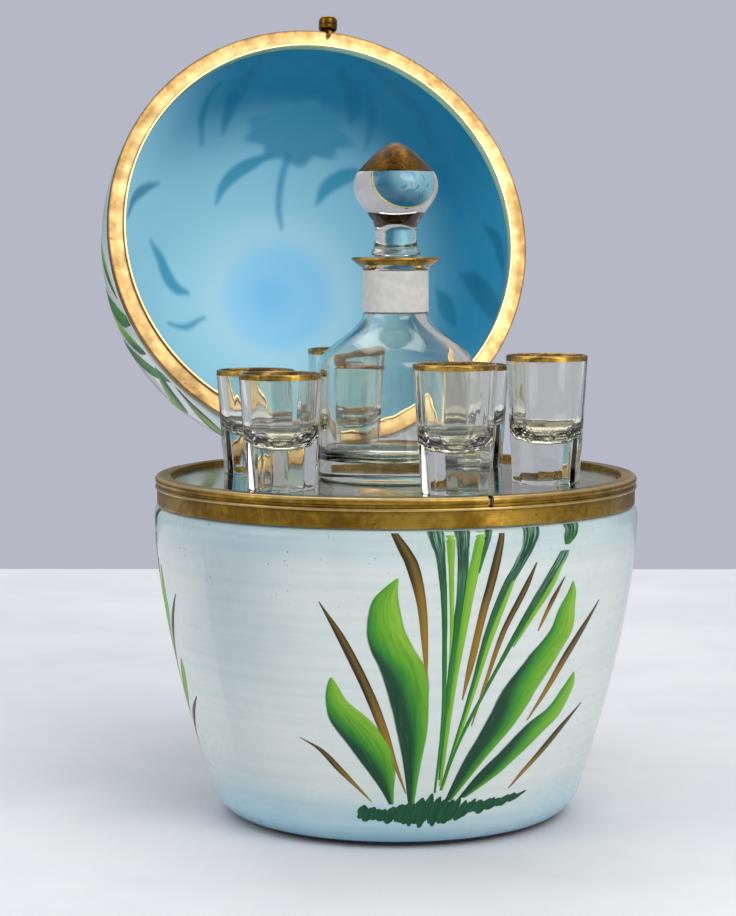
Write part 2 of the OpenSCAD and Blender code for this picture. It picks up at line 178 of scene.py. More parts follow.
@dataclass
class Builder:
    """Collects grids of points into one mesh with masks, colours and a UV map in metres."""

    name: str
    points: list[Array] = field(default_factory=list)
    faces: list[Array] = field(default_factory=list)
    corners: list[Array] = field(default_factory=list)
    marks: dict[str, list[Array]] = field(default_factory=dict)
    count: int = 0

    def grid(self, points: Array, round_rows: bool = False, round_cols: bool = True,
             uv: Array | None = None, **marks: Array) -> None:
        """Adds a grid of points as faces; rows whose points all fall together become poles.

        Args:
            points: rows by columns by 3, in millimetres. Faces look along (next column) x (next row).
            round_rows: whether the last row joins the first.
            round_cols: whether the last column joins the first.
            uv: the UV of each point in metres, with one more row or column where the grid joins itself.
            marks: values or colours of each point, named as the material reads them.
        """
        rows, cols = points.shape[:2]
        ids = np.arange(rows * cols).reshape(rows, cols) + self.count
        for row in (0, rows - 1):
            if not round_rows and np.ptp(points[row], axis=0).max() < 1e-6:
                ids[row] = ids[row, 0]
        i = np.arange(rows if round_rows else rows - 1)[:, None]
        j = np.arange(cols if round_cols else cols - 1)[None, :]
        i2, j2 = (i + 1) % rows, (j + 1) % cols
        self.faces.append(np.stack([ids[i, j], ids[i, j2], ids[i2, j2], ids[i2, j]], -1).reshape(-1, 4))
        if uv is None:
            uv = np.zeros((rows + 1, cols + 1, 2))
        self.corners.append(np.stack([uv[i, j], uv[i, j + 1], uv[i + 1, j + 1], uv[i + 1, j]], 2).reshape(-1, 4, 2))
        self.points.append(points.reshape(-1, 3))
        for key, value in marks.items():
            size = value.shape[2:]
            self.marks.setdefault(key, []).append(value.reshape((rows * cols,) + size))
        self.count += rows * cols

    def make(self, material: bpy.types.Material, crease: float = 40) -> bpy.types.Object:
        """Makes the object, with smooth faces and edges sharper than crease degrees kept sharp."""
        points, quads, uv = np.vstack(self.points), np.vstack(self.faces), np.vstack(self.corners)
        used, index = np.unique(quads, return_inverse=True)
        quads = index.reshape(quads.shape)
        first, last = quads[:, 0] == quads[:, 1], quads[:, 2] == quads[:, 3]
        whole = ~(first | last)
        faces = (quads[whole].tolist() + quads[first][:, [0, 2, 3]].tolist() + quads[last][:, [0, 1, 2]].tolist())
        mesh = bpy.data.meshes.new(self.name)
        mesh.from_pydata((points[used] * MM).tolist(), [], faces)
        layer = mesh.uv_layers.new(name="UVMap")
        flat = [uv[whole].reshape(-1, 2), uv[first][:, [0, 2, 3]].reshape(-1, 2), uv[last][:, [0, 1, 2]].reshape(-1, 2)]
        layer.data.foreach_set("uv", np.vstack(flat).ravel())
        for key, parts in self.marks.items():
            value = np.concatenate(parts)[used].astype(float)
            if value.ndim == 1:
                mesh.attributes.new(key, "FLOAT", "POINT").data.foreach_set("value", value)
            elif value.shape[1] == 3:
                mesh.attributes.new(key, "FLOAT_VECTOR", "POINT").data.foreach_set("vector", value.ravel())
            else:
                mesh.attributes.new(key, "FLOAT_COLOR", "POINT").data.foreach_set("color", value.ravel())
        mesh.polygons.foreach_set("use_smooth", np.ones(len(mesh.polygons), bool))
        mesh.set_sharp_from_angle(angle=math.radians(crease))
        mesh.materials.append(material)
        mesh.update()
        piece = bpy.data.objects.new(self.name, mesh)
        bpy.context.scene.collection.objects.link(piece)
        return piece


def lathe(builder: Builder, profile: Array, degrees: Array, closed: bool = False,
          place: Callable[[Array], Array] | None = None, reshape: Callable[[Array, Array], Array] | None = None,
          **marks: Callable[[Array, Array], Array]) -> None:
    """Adds a turned form to a builder.

    Args:
        builder: what it is added to.
        profile: (r, z) points with the solid on their left, so that the faces look outwards.
        degrees: the angles at which the profile is set, all the way round.
        closed: whether the profile joins itself, as a ring's does.
        place: moves the finished points, as the open lid's are moved.
        reshape: changes the turned points first, given the points and the angles.
        marks: functions of (turned points, angles) that give a value or colour at each point.
    """
    points = turned(profile, degrees)
    if reshape:
        points = reshape(points, degrees)
    angles = np.broadcast_to(degrees[None, :], points.shape[:2])
    values = {key: make(points, angles) for key, make in marks.items()}
    values["shut"] = points * MM
    loop = np.vstack([profile, profile[:1]])
    run = np.concatenate([[0], np.cumsum(np.hypot(*np.diff(loop, axis=0).T))])
    wide = np.radians(np.append(degrees, degrees[0] + 360)) * profile[:, 0].max()
    uv = np.stack(np.broadcast_arrays(wide[None, :], run[:, None]), -1) * MM
    builder.grid(place(points) if place else points, round_rows=closed, uv=uv, **values)


def dressed(piece: bpy.types.Object, body: str, slot: Slot, *nodes: str) -> bpy.types.Object:
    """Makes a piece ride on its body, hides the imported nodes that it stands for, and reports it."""
    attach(piece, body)
    if nodes:
        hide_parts(*nodes)
    log.info("%s: %d faces on %s", piece.name, len(piece.data.polygons), body)
    return piece


# Shader nodes

@dataclass
class Kit:
    """Adds and joins nodes in one material or group."""

    tree: bpy.types.NodeTree

    def add(self, kind: str, settings: dict | None = None, **inputs: object) -> bpy.types.Node:
        """Adds a node; settings are its own options, and inputs are values or sockets by input name."""
        node = self.tree.nodes.new("ShaderNode" + kind)
        for key, value in (settings or {}).items():
            setattr(node, key, value)
        for key, value in inputs.items():
            self.put(node.inputs[key.replace("_", " ")], value)
        return node

    def put(self, socket: Socket, value: object) -> None:
        """Sets a socket to a value, or joins another node's output to it."""
        if isinstance(value, bpy.types.NodeSocket):
            self.tree.links.new(value, socket)
        else:
            socket.default_value = value

    def math(self, operation: str, a: object, b: object = 0.0) -> Socket:
        """A Math node of the named operation."""
        node = self.add("Math", {"operation": operation})
        self.put(node.inputs[0], a)
        self.put(node.inputs[1], b)
        return node.outputs[0]

    def mix(self, amount: object, a: object, b: object, how: str = "MIX") -> Socket:
        """Mixes two colours."""
        node = self.add("Mix", {"data_type": "RGBA", "blend_type": how})
        self.put(node.inputs[0], amount)
        self.put(node.inputs[6], a)
        self.put(node.inputs[7], b)
        return node.outputs[2]

    def spread(self, value: object, low: float, high: float, to_low: float = 0.0, to_high: float = 1.0) -> Socket:
        """Maps a value from one range to another, held at the ends."""
        node = self.add("MapRange", {"interpolation_type": "SMOOTHSTEP"})
        for index, item in enumerate((value, low, high, to_low, to_high)):
            self.put(node.inputs[index], item)
        return node.outputs[0]

    def stretch(self, vector: Socket, scale: tuple[float, float, float]) -> Socket:
        """Scales a coordinate along its axes."""
        node = self.add("Mapping", Vector=vector)
        node.inputs["Scale"].default_value = scale
        return node.outputs[0]

    def noise(self, vector: Socket, scale: float, detail: float = 4.0, rough: float = 0.55) -> Socket:
        """A noise value between 0 and 1."""
        return self.add("TexNoise", Vector=vector, Scale=scale, Detail=detail, Roughness=rough).outputs[0]

    def mark(self, name: str, kind: str = "Fac") -> Socket:
        """Reads one of the mesh's own values, colours or vectors."""
        return self.add("Attribute", {"attribute_name": name}).outputs[kind]

    def use(self, tree: bpy.types.NodeTree, **inputs: object) -> bpy.types.Node:
        """Places a node group with its own values."""
        node = self.tree.nodes.new("ShaderNodeGroup")
        node.node_tree = tree
        for key, value in inputs.items():
            self.put(node.inputs[key.replace("_", " ")], value)
        return node


class Effects:
    """The shader node groups that several finishes share, each built once."""

    def __init__(self) -> None:
        """Builds every group."""
        self.mottle = self._mottle()
        self.brushed = self._brushed()
        self.specks = self._specks()
        self.scuffs = self._scuffs()

    @staticmethod
    def _new(name: str, inputs: dict[str, tuple[str, object]], outputs: dict[str, str]) -> tuple[Kit, Socket, Socket]:
        """Starts a group.

        Args:
            name: the group's name.
            inputs: each input's kind of socket and its first value.
            outputs: each output's kind of socket.
        """
        tree = bpy.data.node_groups.new(name, "ShaderNodeTree")
        for key, (kind, value) in inputs.items():
            socket = tree.interface.new_socket(name=key, in_out="INPUT", socket_type="NodeSocket" + kind)
            if value is not None:
                socket.default_value = value
        for key, kind in outputs.items():
            tree.interface.new_socket(name=key, in_out="OUTPUT", socket_type="NodeSocket" + kind)
        return Kit(tree), tree.nodes.new("NodeGroupInput"), tree.nodes.new("NodeGroupOutput")

    def _mottle(self) -> bpy.types.NodeTree:
        """Cloudy variation between two colours, from noise of two sizes."""
        kit, given, out = self._new("mottle", {"Vector": ("Vector", None), "Scale": ("Float", 40.0),
            "First": ("Color", (0, 0, 0, 1)), "Second": ("Color", (1, 1, 1, 1))}, {"Color": "Color", "Mask": "Float"})
        big = kit.add("TexNoise", Vector=given.outputs[0], Scale=given.outputs[1], Detail=3.0, Roughness=0.5)
        small_scale = kit.math("MULTIPLY", given.outputs[1], 7.3)
        small = kit.add("TexNoise", Vector=given.outputs[0], Scale=small_scale, Detail=4.0, Roughness=0.6)
        both = kit.math("ADD", kit.math("MULTIPLY", big.outputs[0], 0.65), kit.math("MULTIPLY", small.outputs[0], 0.35))
        mask = kit.spread(both, 0.38, 0.62)
        kit.put(out.inputs[0], kit.mix(mask, given.outputs[2], given.outputs[3]))
        kit.put(out.inputs[1], mask)
        return kit.tree

    def _brushed(self) -> bpy.types.NodeTree:
        """Fine lines along U, as a turned or wiped surface has."""
        kit, given, out = self._new("brushed lines", {"Vector": ("Vector", None), "Along": ("Float", 20.0),
            "Across": ("Float", 2000.0)}, {"Value": "Float"})
        scale = kit.add("CombineXYZ", X=given.outputs[1], Y=given.outputs[2], Z=given.outputs[1])
        moved = kit.add("VectorMath", {"operation": "MULTIPLY"})
        kit.put(moved.inputs[0], given.outputs[0])
        kit.put(moved.inputs[1], scale.outputs[0])
        noise = kit.add("TexNoise", Vector=moved.outputs[0], Scale=1.0, Detail=3.0, Roughness=0.6)
        kit.put(out.inputs[0], noise.outputs[0])
        return kit.tree

    def _specks(self) -> bpy.types.NodeTree:
        """Small scattered spots, as a mask."""
        kit, given, out = self._new("specks", {"Vector": ("Vector", None), "Scale": ("Float", 120.0),
            "Size": ("Float", 0.12)}, {"Mask": "Float"})
        cells = kit.add("TexVoronoi", Vector=given.outputs[0], Scale=given.outputs[1])
        chance = kit.add("TexNoise", Vector=given.outputs[0], Scale=kit.math("MULTIPLY", given.outputs[1], 0.35))
        near = kit.math("LESS_THAN", cells.outputs[0], given.outputs[2])
        kept = kit.math("GREATER_THAN", chance.outputs[0], 0.58)
        kit.put(out.inputs[0], kit.math("MULTIPLY", near, kept))
        return kit.tree

    def _scuffs(self) -> bpy.types.NodeTree:
        """Random hairline scratches, as a mask, from the thin borders where a stretched noise crosses its middle."""
        kit, given, out = self._new("scuffs", {"Vector": ("Vector", None), "Scale": ("Float", 60.0),
            "Width": ("Float", 0.012)}, {"Mask": "Float"})
        lines = []
        for turn, shape in ((0.6, (1.0, 6.0, 1.0)), (-0.9, (5.0, 1.0, 3.0))):
            turned_node = kit.add("Mapping", Vector=given.outputs[0])
            turned_node.inputs["Rotation"].default_value = (turn, turn * 1.7, turn * 0.4)
            turned_node.inputs["Scale"].default_value = shape
            noise = kit.add("TexNoise", Vector=turned_node.outputs[0], Scale=given.outputs[1], Detail=1.0)
            away = kit.math("ABSOLUTE", kit.math("SUBTRACT", noise.outputs[0], 0.5))
            lines.append(kit.math("LESS_THAN", away, given.outputs[2]))
        patches = kit.spread(kit.noise(given.outputs[0], 35.0, 2.0), 0.5, 0.62)
        kit.put(out.inputs[0], kit.math("MULTIPLY", kit.math("MAXIMUM", *lines), patches))
        return kit.tree


def blank(name: str) -> tuple[bpy.types.Material, Kit, bpy.types.Node]:
    """A new material with one Principled BSDF, its kit and that shader."""
    material = bpy.data.materials.new(name)
    material.use_nodes = True
    kit = Kit(material.node_tree)
    shader = next(n for n in material.node_tree.nodes if n.type == "BSDF_PRINCIPLED")
    return material, kit, shader


# Finishes

@dataclass(frozen=True)
class Brass:
    """Old polished brass: brown tarnish in clouds, fine turning lines, edges worn bright with a painted highlight,
    painted shade and dark seams, and hairline scratches.
    """

    name: str
    clean: str
    tarnished: str
    rough: float = 0.24
    tarnish: float = 0.5
    lines: float = 1.0
    edge_wear_and_highlight: float = 0.35
    cloud: float = 38.0
    place: str = "shut"

    def build(self, effects: Effects) -> bpy.types.Material:
        """Builds the material; place names the coordinate that the clouds follow."""
        material, kit, shader = blank(self.name)
        own = self.place == "shut"
        where = kit.mark("shut", "Vector") if own else kit.add("TexCoord").outputs["Object"]
        lined = kit.add("UVMap").outputs[0] if own else where
        clouds = kit.use(effects.mottle, Vector=where, Scale=self.cloud)
        amount = kit.math("MULTIPLY", clouds.outputs["Mask"], self.tarnish)
        tone = kit.mix(amount, rgb(self.clean), rgb(self.tarnished))
        lines = kit.use(effects.brushed, Vector=lined, Along=12.0, Across=2600.0).outputs[0]
        tone = kit.mix(kit.spread(lines, 0.3, 0.7, 0.0, 0.22 * self.lines), tone, rgb(self.tarnished))
        scuffs = kit.use(effects.scuffs, Vector=where, Scale=40.0, Width=0.002).outputs[0]
        tone = kit.mix(kit.math("MULTIPLY", scuffs, 0.12), tone, rgb("#fff0c0"))
        spots = kit.use(effects.specks, Vector=where, Scale=300.0, Size=0.16).outputs[0]
        tone = kit.mix(kit.math("MULTIPLY", spots, 0.55), tone, rgb("#3a2508"))
        if own:
            # Painted highlight: the edge mark lightens worn edges and crests towards pale cream.
            tone = kit.mix(kit.math("MULTIPLY", kit.mark("edge"), self.edge_wear_and_highlight), tone, rgb("#ffe9b0"))
            # Painted shade: this mark darkens hollows, recesses and outer edges, and also the dark seams.
            tone = kit.mix(kit.mark("groove"), tone, rgb("#2e1c06"))
        kit.put(shader.inputs["Base Color"], tone)
        shader.inputs["Metallic"].default_value = 1.0
        smear = kit.noise(where, 90.0, 3.0)
        rough = kit.math("ADD", kit.spread(smear, 0.3, 0.7, self.rough * 0.75, self.rough * 1.35),
                         kit.math("MULTIPLY", amount, 0.12))
        kit.put(shader.inputs["Roughness"], rough)
        height = kit.math("ADD", kit.math("MULTIPLY", lines, 0.5 * self.lines), kit.math("MULTIPLY", smear, 0.6))
        bump = kit.add("Bump", Strength=0.35, Distance=0.00012, Height=height)
        kit.put(shader.inputs["Normal"], bump.outputs[0])
        return material


@dataclass(frozen=True)
class ClearGlass:
    """Clear old glass, slightly wavy, with a grey-green body that shows where it is thick."""

    name: str
    tint: str = "#fbfaf4"
    body: str = "#b9bd9c"
    density: float = 7.0
    rough: float = 0.012
    wave: float = 0.25

    def build(self, effects: Effects) -> bpy.types.Material:
        """Builds the material."""
        material, kit, shader = blank(self.name)
        where = kit.mark("shut", "Vector")
        kit.put(shader.inputs["Base Color"], kit.mix(kit.noise(where, 60.0, 2.0), rgb(self.tint), rgb("#f3f4ee")))
        scuffs = kit.use(effects.scuffs, Vector=where, Scale=90.0, Width=0.004).outputs[0]
        kit.put(shader.inputs["Roughness"], kit.math("ADD", kit.math("MULTIPLY", scuffs, 0.12), self.rough))
        shader.inputs["Metallic"].default_value = 0.0
        shader.inputs["Transmission Weight"].default_value = 1.0
        shader.inputs["IOR"].default_value = 1.5
        bump = kit.add("Bump", Strength=self.wave, Distance=0.0006, Height=kit.noise(where, 45.0, 1.5))
        kit.put(shader.inputs["Normal"], bump.outputs[0])
        body = kit.add("VolumeAbsorption", Color=rgb(self.body), Density=self.density)
        out = next(n for n in kit.tree.nodes if n.type == "OUTPUT_MATERIAL")
        kit.tree.links.new(body.outputs[0], out.inputs["Volume"])
        return material


@dataclass(frozen=True)
class Opaline:
    """Pale blue opaline glass under a sprayed coat, with brush streaks round it, specks and glossy enamel."""

    name: str
    rough: float = 0.2
    painted_glow: float = 0.0
    speck: str = "#3c5a66"

    def build(self, effects: Effects) -> bpy.types.Material:
        """Builds the material, whose main colour is the mesh's own paint."""
        material, kit, shader = blank(self.name)
        where = kit.mark("shut", "Vector")
        uv = kit.add("UVMap").outputs[0]
        tone = kit.mark("paint", "Color")
        streaks = kit.use(effects.brushed, Vector=uv, Along=7.0, Across=260.0).outputs[0]
        inside = kit.mark("inside")
        outside = kit.math("SUBTRACT", 1.0, inside)
        pale = kit.math("MULTIPLY", kit.spread(streaks, 0.35, 0.72, 0.0, 0.12), outside)
        tone = kit.mix(pale, tone, rgb("#ffffff"), "SOFT_LIGHT")
        deeper = kit.math("MULTIPLY", kit.spread(streaks, 0.62, 0.3, 0.0, 0.07), outside)
        tone = kit.mix(deeper, tone, rgb("#6f9fb4"))
        cloud = kit.use(effects.mottle, Vector=where, Scale=16.0).outputs["Mask"]
        haze = kit.math("ADD", kit.math("MULTIPLY", outside, 0.10), 0.015)
        tone = kit.mix(kit.math("MULTIPLY", cloud, haze), tone, rgb("#f2f6f4"))
        dots = kit.use(effects.specks, Vector=where, Scale=330.0, Size=0.15).outputs[0]
        tone = kit.mix(kit.math("MULTIPLY", kit.math("MULTIPLY", dots, kit.mark("dotted")), 0.6), tone, rgb(self.speck))
        kit.put(shader.inputs["Base Color"], tone)
        rough = kit.spread(kit.noise(where, 30.0), 0.3, 0.7, self.rough, self.rough + 0.12)
        kit.put(shader.inputs["Roughness"], kit.math("ADD", rough, kit.math("MULTIPLY", inside, 0.25)))
        kit.put(shader.inputs["Coat Weight"], kit.math("MULTIPLY", outside, 0.3))
        shader.inputs["Coat Roughness"].default_value = 0.06
        shader.inputs["Specular IOR Level"].default_value = 0.25
        # Painted light: the inner skin glows in its own colour, standing in for light coming through the glass.
        kit.put(shader.inputs["Emission Color"], kit.mix(inside, rgb("#000000"), tone))
        shader.inputs["Emission Strength"].default_value = self.painted_glow
        height = kit.math("ADD", kit.math("MULTIPLY", streaks, 0.5), kit.noise(where, 240.0, 3.0))
        bump = kit.add("Bump", Strength=0.16, Distance=0.00025, Height=height)
        kit.put(shader.inputs["Normal"], bump.outputs[0])
        return material


@dataclass(frozen=True)
class Enamel:
    """Thick enamel colour laid on with a brush: bristle streaks, feathered sides, a soft gloss."""

    name: str
    feather: float = 0.16
    streak: float = 0.5

    def build(self, effects: Effects) -> bpy.types.Material:
        """Builds the material. U runs along a stroke in metres, and V across it from 0 to 1 at the sides."""
        material, kit, shader = blank(self.name)
        uv = kit.add("UVMap").outputs[0]
        tone = kit.mark("paint", "Color")
        bristle = kit.noise(kit.stretch(uv, (60.0, 9.0, 1.0)), 1.0, 4.0, 0.65)
        fine = kit.noise(kit.stretch(uv, (110.0, 26.0, 1.0)), 1.0, 3.0, 0.6)
        splay = kit.mark("splay")
        dark = kit.mix(1.0, tone, rgb("#8fa890"), "MULTIPLY")
        light = kit.mix(0.25, tone, rgb("#d2e47c"))
        tone = kit.mix(kit.spread(bristle, 0.56, 0.30, 0.0, self.streak), tone, dark)
        tone = kit.mix(kit.spread(fine, 0.55, 0.75, 0.0, self.streak * 0.8), tone, light)
        mint = kit.math("MULTIPLY", kit.spread(bristle, 0.46, 0.62), splay)
        tone = kit.mix(kit.math("MULTIPLY", mint, 0.7), tone, rgb("#8cc4a8"))
        kit.put(shader.inputs["Base Color"], tone)
        side = kit.math("ABSOLUTE", kit.math("SUBTRACT", kit.mark("across"), 0.0))
        ragged = kit.math("ADD", side, kit.math("MULTIPLY", kit.math("SUBTRACT", bristle, 0.5), kit.mark("ragged")))
        gaps = kit.math("MULTIPLY", kit.spread(fine, 0.6, 0.7), kit.math("MULTIPLY", splay, 0.9))
        whole = kit.math("SUBTRACT", 1.0, gaps)
        kit.put(shader.inputs["Alpha"], kit.math("MULTIPLY", kit.spread(ragged, 1.0 - self.feather, 1.0, 1.0, 0.0), whole))
        kit.put(shader.inputs["Roughness"], kit.spread(fine, 0.3, 0.7, 0.36, 0.55))
        shader.inputs["Coat Weight"].default_value = 0.06
        shader.inputs["Specular IOR Level"].default_value = 0.3
        bump = kit.add("Bump", Strength=0.4, Distance=0.0002, Height=bristle)
        kit.put(shader.inputs["Normal"], bump.outputs[0])
        return material


@dataclass(frozen=True)
class Mirror:
    """Silvered plate glass, gone a little grey, with dust, hairlines and dark spots."""

    name: str

    def build(self, effects: Effects) -> bpy.types.Material:
        """Builds the material."""
        material, kit, shader = blank(self.name)
        where = kit.mark("shut", "Vector")
        clouds = kit.use(effects.mottle, Vector=where, Scale=22.0, First=rgb("#bdb9a2"), Second=rgb("#98947c"))
        spots = kit.use(effects.specks, Vector=where, Scale=170.0, Size=0.13).outputs[0]
        tone = kit.mix(kit.math("MULTIPLY", spots, 0.6), clouds.outputs[0], rgb("#4c4a40"))
        kit.put(shader.inputs["Base Color"], tone)
        shader.inputs["Metallic"].default_value = 0.96
        scuffs = kit.use(effects.scuffs, Vector=where, Scale=50.0, Width=0.005).outputs[0]
        rough = kit.math("ADD", kit.spread(kit.noise(where, 28.0), 0.3, 0.7, 0.07, 0.2), kit.math("MULTIPLY", scuffs, 0.2))
        kit.put(shader.inputs["Roughness"], rough)
        bump = kit.add("Bump", Strength=0.12, Distance=0.0003, Height=kit.noise(where, 70.0, 1.0))
        kit.put(shader.inputs["Normal"], bump.outputs[0])
        return material


@dataclass(frozen=True)
class Matt:
    """A dull, dry finish, such as plaster or board, with grain and clouds."""

    name: str
    first: str
    second: str
    grain: tuple[float, float, float] = (1.0, 1.0, 1.0)
    rough: float = 0.85

    def build(self, effects: Effects) -> bpy.types.Material:
        """Builds the material; grain stretches the pattern along the piece."""
        material, kit, shader = blank(self.name)
        where = kit.stretch(kit.add("TexCoord").outputs["Object"], self.grain)
        clouds = kit.use(effects.mottle, Vector=where, Scale=60.0, First=rgb(self.first), Second=rgb(self.second))
        specks = kit.use(effects.specks, Vector=where, Scale=500.0, Size=0.2).outputs[0]
        tone = kit.mix(kit.math("MULTIPLY", specks, 0.4), clouds.outputs[0], rgb("#4a3a28"))
        kit.put(shader.inputs["Base Color"], tone)
        kit.put(shader.inputs["Roughness"], kit.spread(clouds.outputs[1], 0.0, 1.0, self.rough - 0.1, self.rough))
        bump = kit.add("Bump", Strength=0.5, Distance=0.0003, Height=kit.noise(where, 300.0))
        kit.put(shader.inputs["Normal"], bump.outputs[0])
        return material


@dataclass(frozen=True)
class GroundGlass:
    """The frosted zone of the ground neck: thin, white and see-through in patches."""

    name: str

    def build(self, effects: Effects) -> bpy.types.Material:
        """Builds the material."""
        material, kit, shader = blank(self.name)
        where = kit.mark("shut", "Vector")
        kit.put(shader.inputs["Base Color"], kit.mix(kit.noise(where, 160.0), rgb("#f6f6f2"), rgb("#e6e8e4")))
        cloud = kit.use(effects.mottle, Vector=where, Scale=45.0).outputs["Mask"]
        kit.put(shader.inputs["Alpha"], kit.spread(cloud, 0.0, 1.0, 0.66, 0.78))
        kit.put(shader.inputs["Roughness"], kit.spread(kit.noise(where, 400.0), 0.3, 0.7, 0.5, 0.75))
        bump = kit.add("Bump", Strength=0.5, Distance=0.0001, Height=kit.noise(where, 1500.0))
        kit.put(shader.inputs["Normal"], bump.outputs[0])
        return material


class Palette:
    """Every finish of the casket, built once."""

    def __init__(self) -> None:
        """Builds the groups and then the materials."""
        fx = Effects()
        # The base ring's dark tarnish is partly painted shade: it stands in for the darker room that the ring reflects.
        self.ring = Brass("ring brass", "#ad8a38", "#5e430c", tarnish=0.8, rough=0.27).build(fx)
        self.lid_ring = Brass("lid ring brass", "#c9a873", "#94713a", tarnish=0.6, rough=0.32).build(fx)
        self.bright = Brass("bright brass", "#f3dca6", "#cf9c4a", tarnish=0.35, rough=0.22).build(fx)
        self.knob = Brass("knob brass", "#8f6e24", "#3e2a0a", tarnish=0.7, rough=0.2, edge_wear_and_highlight=0.2).build(fx)
        self.hinge = Brass("hinge brass", "#b9832a", "#6a430e", tarnish=0.8, place="object", lines=0.3).build(fx)
        self.dark = Brass("dark brass", "#7a5418", "#3f2808", tarnish=0.8, place="object", lines=0.3).build(fx)
        self.gilt = Brass("gilding", "#c29c48", "#4a300a", tarnish=0.85, rough=0.2, edge_wear_and_highlight=0.0, lines=0.3,
                          cloud=85.0).build(fx)
        self.cap_gilt = Brass("cap gilding", "#6e4a08", "#2c1b04", tarnish=0.9, rough=0.3, edge_wear_and_highlight=0.1, lines=0.3,
                              cloud=110.0).build(fx)
        self.glass = ClearGlass("clear glass").build(fx)
        self.decanter = ClearGlass("decanter glass", density=5.0, wave=0.3).build(fx)
        self.ground = GroundGlass("ground glass").build(fx)
        self.bowl = Opaline("bowl opaline").build(fx)
        self.dome = Opaline("lid opaline", rough=0.16, painted_glow=0.3).build(fx)
        self.enamel = Enamel("enamel colour").build(fx)
        # The foot line's colour, partly a painted shadow.
        self.line = Enamel("foot line and shadow colour", feather=0.05, streak=0.2).build(fx)
        self.mirror = Mirror("mirror plate").build(fx)
        self.plaster = Matt("plaster", "#d9d1bd", "#c2b79e").build(fx)
        self.board = Matt("board", "#6b4a2e", "#553821", grain=(1.0, 9.0, 1.0)).build(fx)


# Painted ornament

class Brush(Enum):
    """The kinds of brush stroke in the ornament."""

    LEAF = "leaf"
    REED = "reed"
    DARK = "dark stem"
    LIGHT = "light stem"
    DAB = "dab"
    PETAL = "petal"
    HEART = "flower's heart"


PIGMENT = {
    "deep": rgb("#06442c"), "teal": rgb("#0c5838"), "mid": rgb("#2f8a2a"), "vivid": rgb("#5fa624"),
    "lime": rgb("#86bb33"), "ochre": rgb("#9a7622"), "umber": rgb("#33260a"),
    "petal": rgb("#3f7fb8"), "petal_dark": rgb("#1f4f93"), "heart": rgb("#c9a24a"),
}


@dataclass(frozen=True)
class Stroke:
    """One brush stroke: its kind and a few points (degrees round, height, width across) from tip to root."""

    brush: Brush
    path: tuple[tuple[float, float, float], ...]
    ragged: float = 0.15

    def colour(self, along: Array, across: Array) -> Array:
        """The stroke's colour, along being 0 at the tip and 1 at the root, across -1 on the left and 1 on the right."""
        shape = np.broadcast(along, across).shape
        base = lambda name: np.broadcast_to(np.array(PIGMENT[name]), shape + (4,))
        if self.brush is Brush.LEAF:
            dark_share = 0.04 + 0.66 * smooth(0.18, 0.85, along)
            shade = (2 * dark_share - 1 - across) / 1.0 + 0.5
            tone = blend(base("lime"), base("vivid"), smooth(-1.0, 0.1, shade))
            tone = blend(tone, base("mid"), smooth(0.0, 0.5, shade))
            return blend(tone, base("deep"), smooth(0.4, 1.0, shade))
        if self.brush is Brush.REED:
            edge = smooth(0.1, 0.9, np.abs(across - 0.2))
            tip = smooth(0.75, 0.3, along)
            return blend(base("ochre"), base("umber"), np.clip(tip * (0.6 + 0.4 * edge) + 0.3 * edge, 0, 1))
        if self.brush is Brush.DARK:
            return blend(base("deep"), base("mid"), smooth(0.2, 0.9, along) * smooth(-1.6, 0.6, across))
        if self.brush is Brush.LIGHT:
            return blend(base("vivid"), base("lime"), smooth(-0.9, 0.4, across) + 0 * along)
        if self.brush is Brush.PETAL:
            return blend(base("petal"), base("petal_dark"), smooth(0.2, 1.0, along) + 0 * across)
        if self.brush is Brush.HEART:
            return base("heart").copy()
        return blend(base("teal"), base("deep"), smooth(-0.6, 0.8, across) + 0 * along)


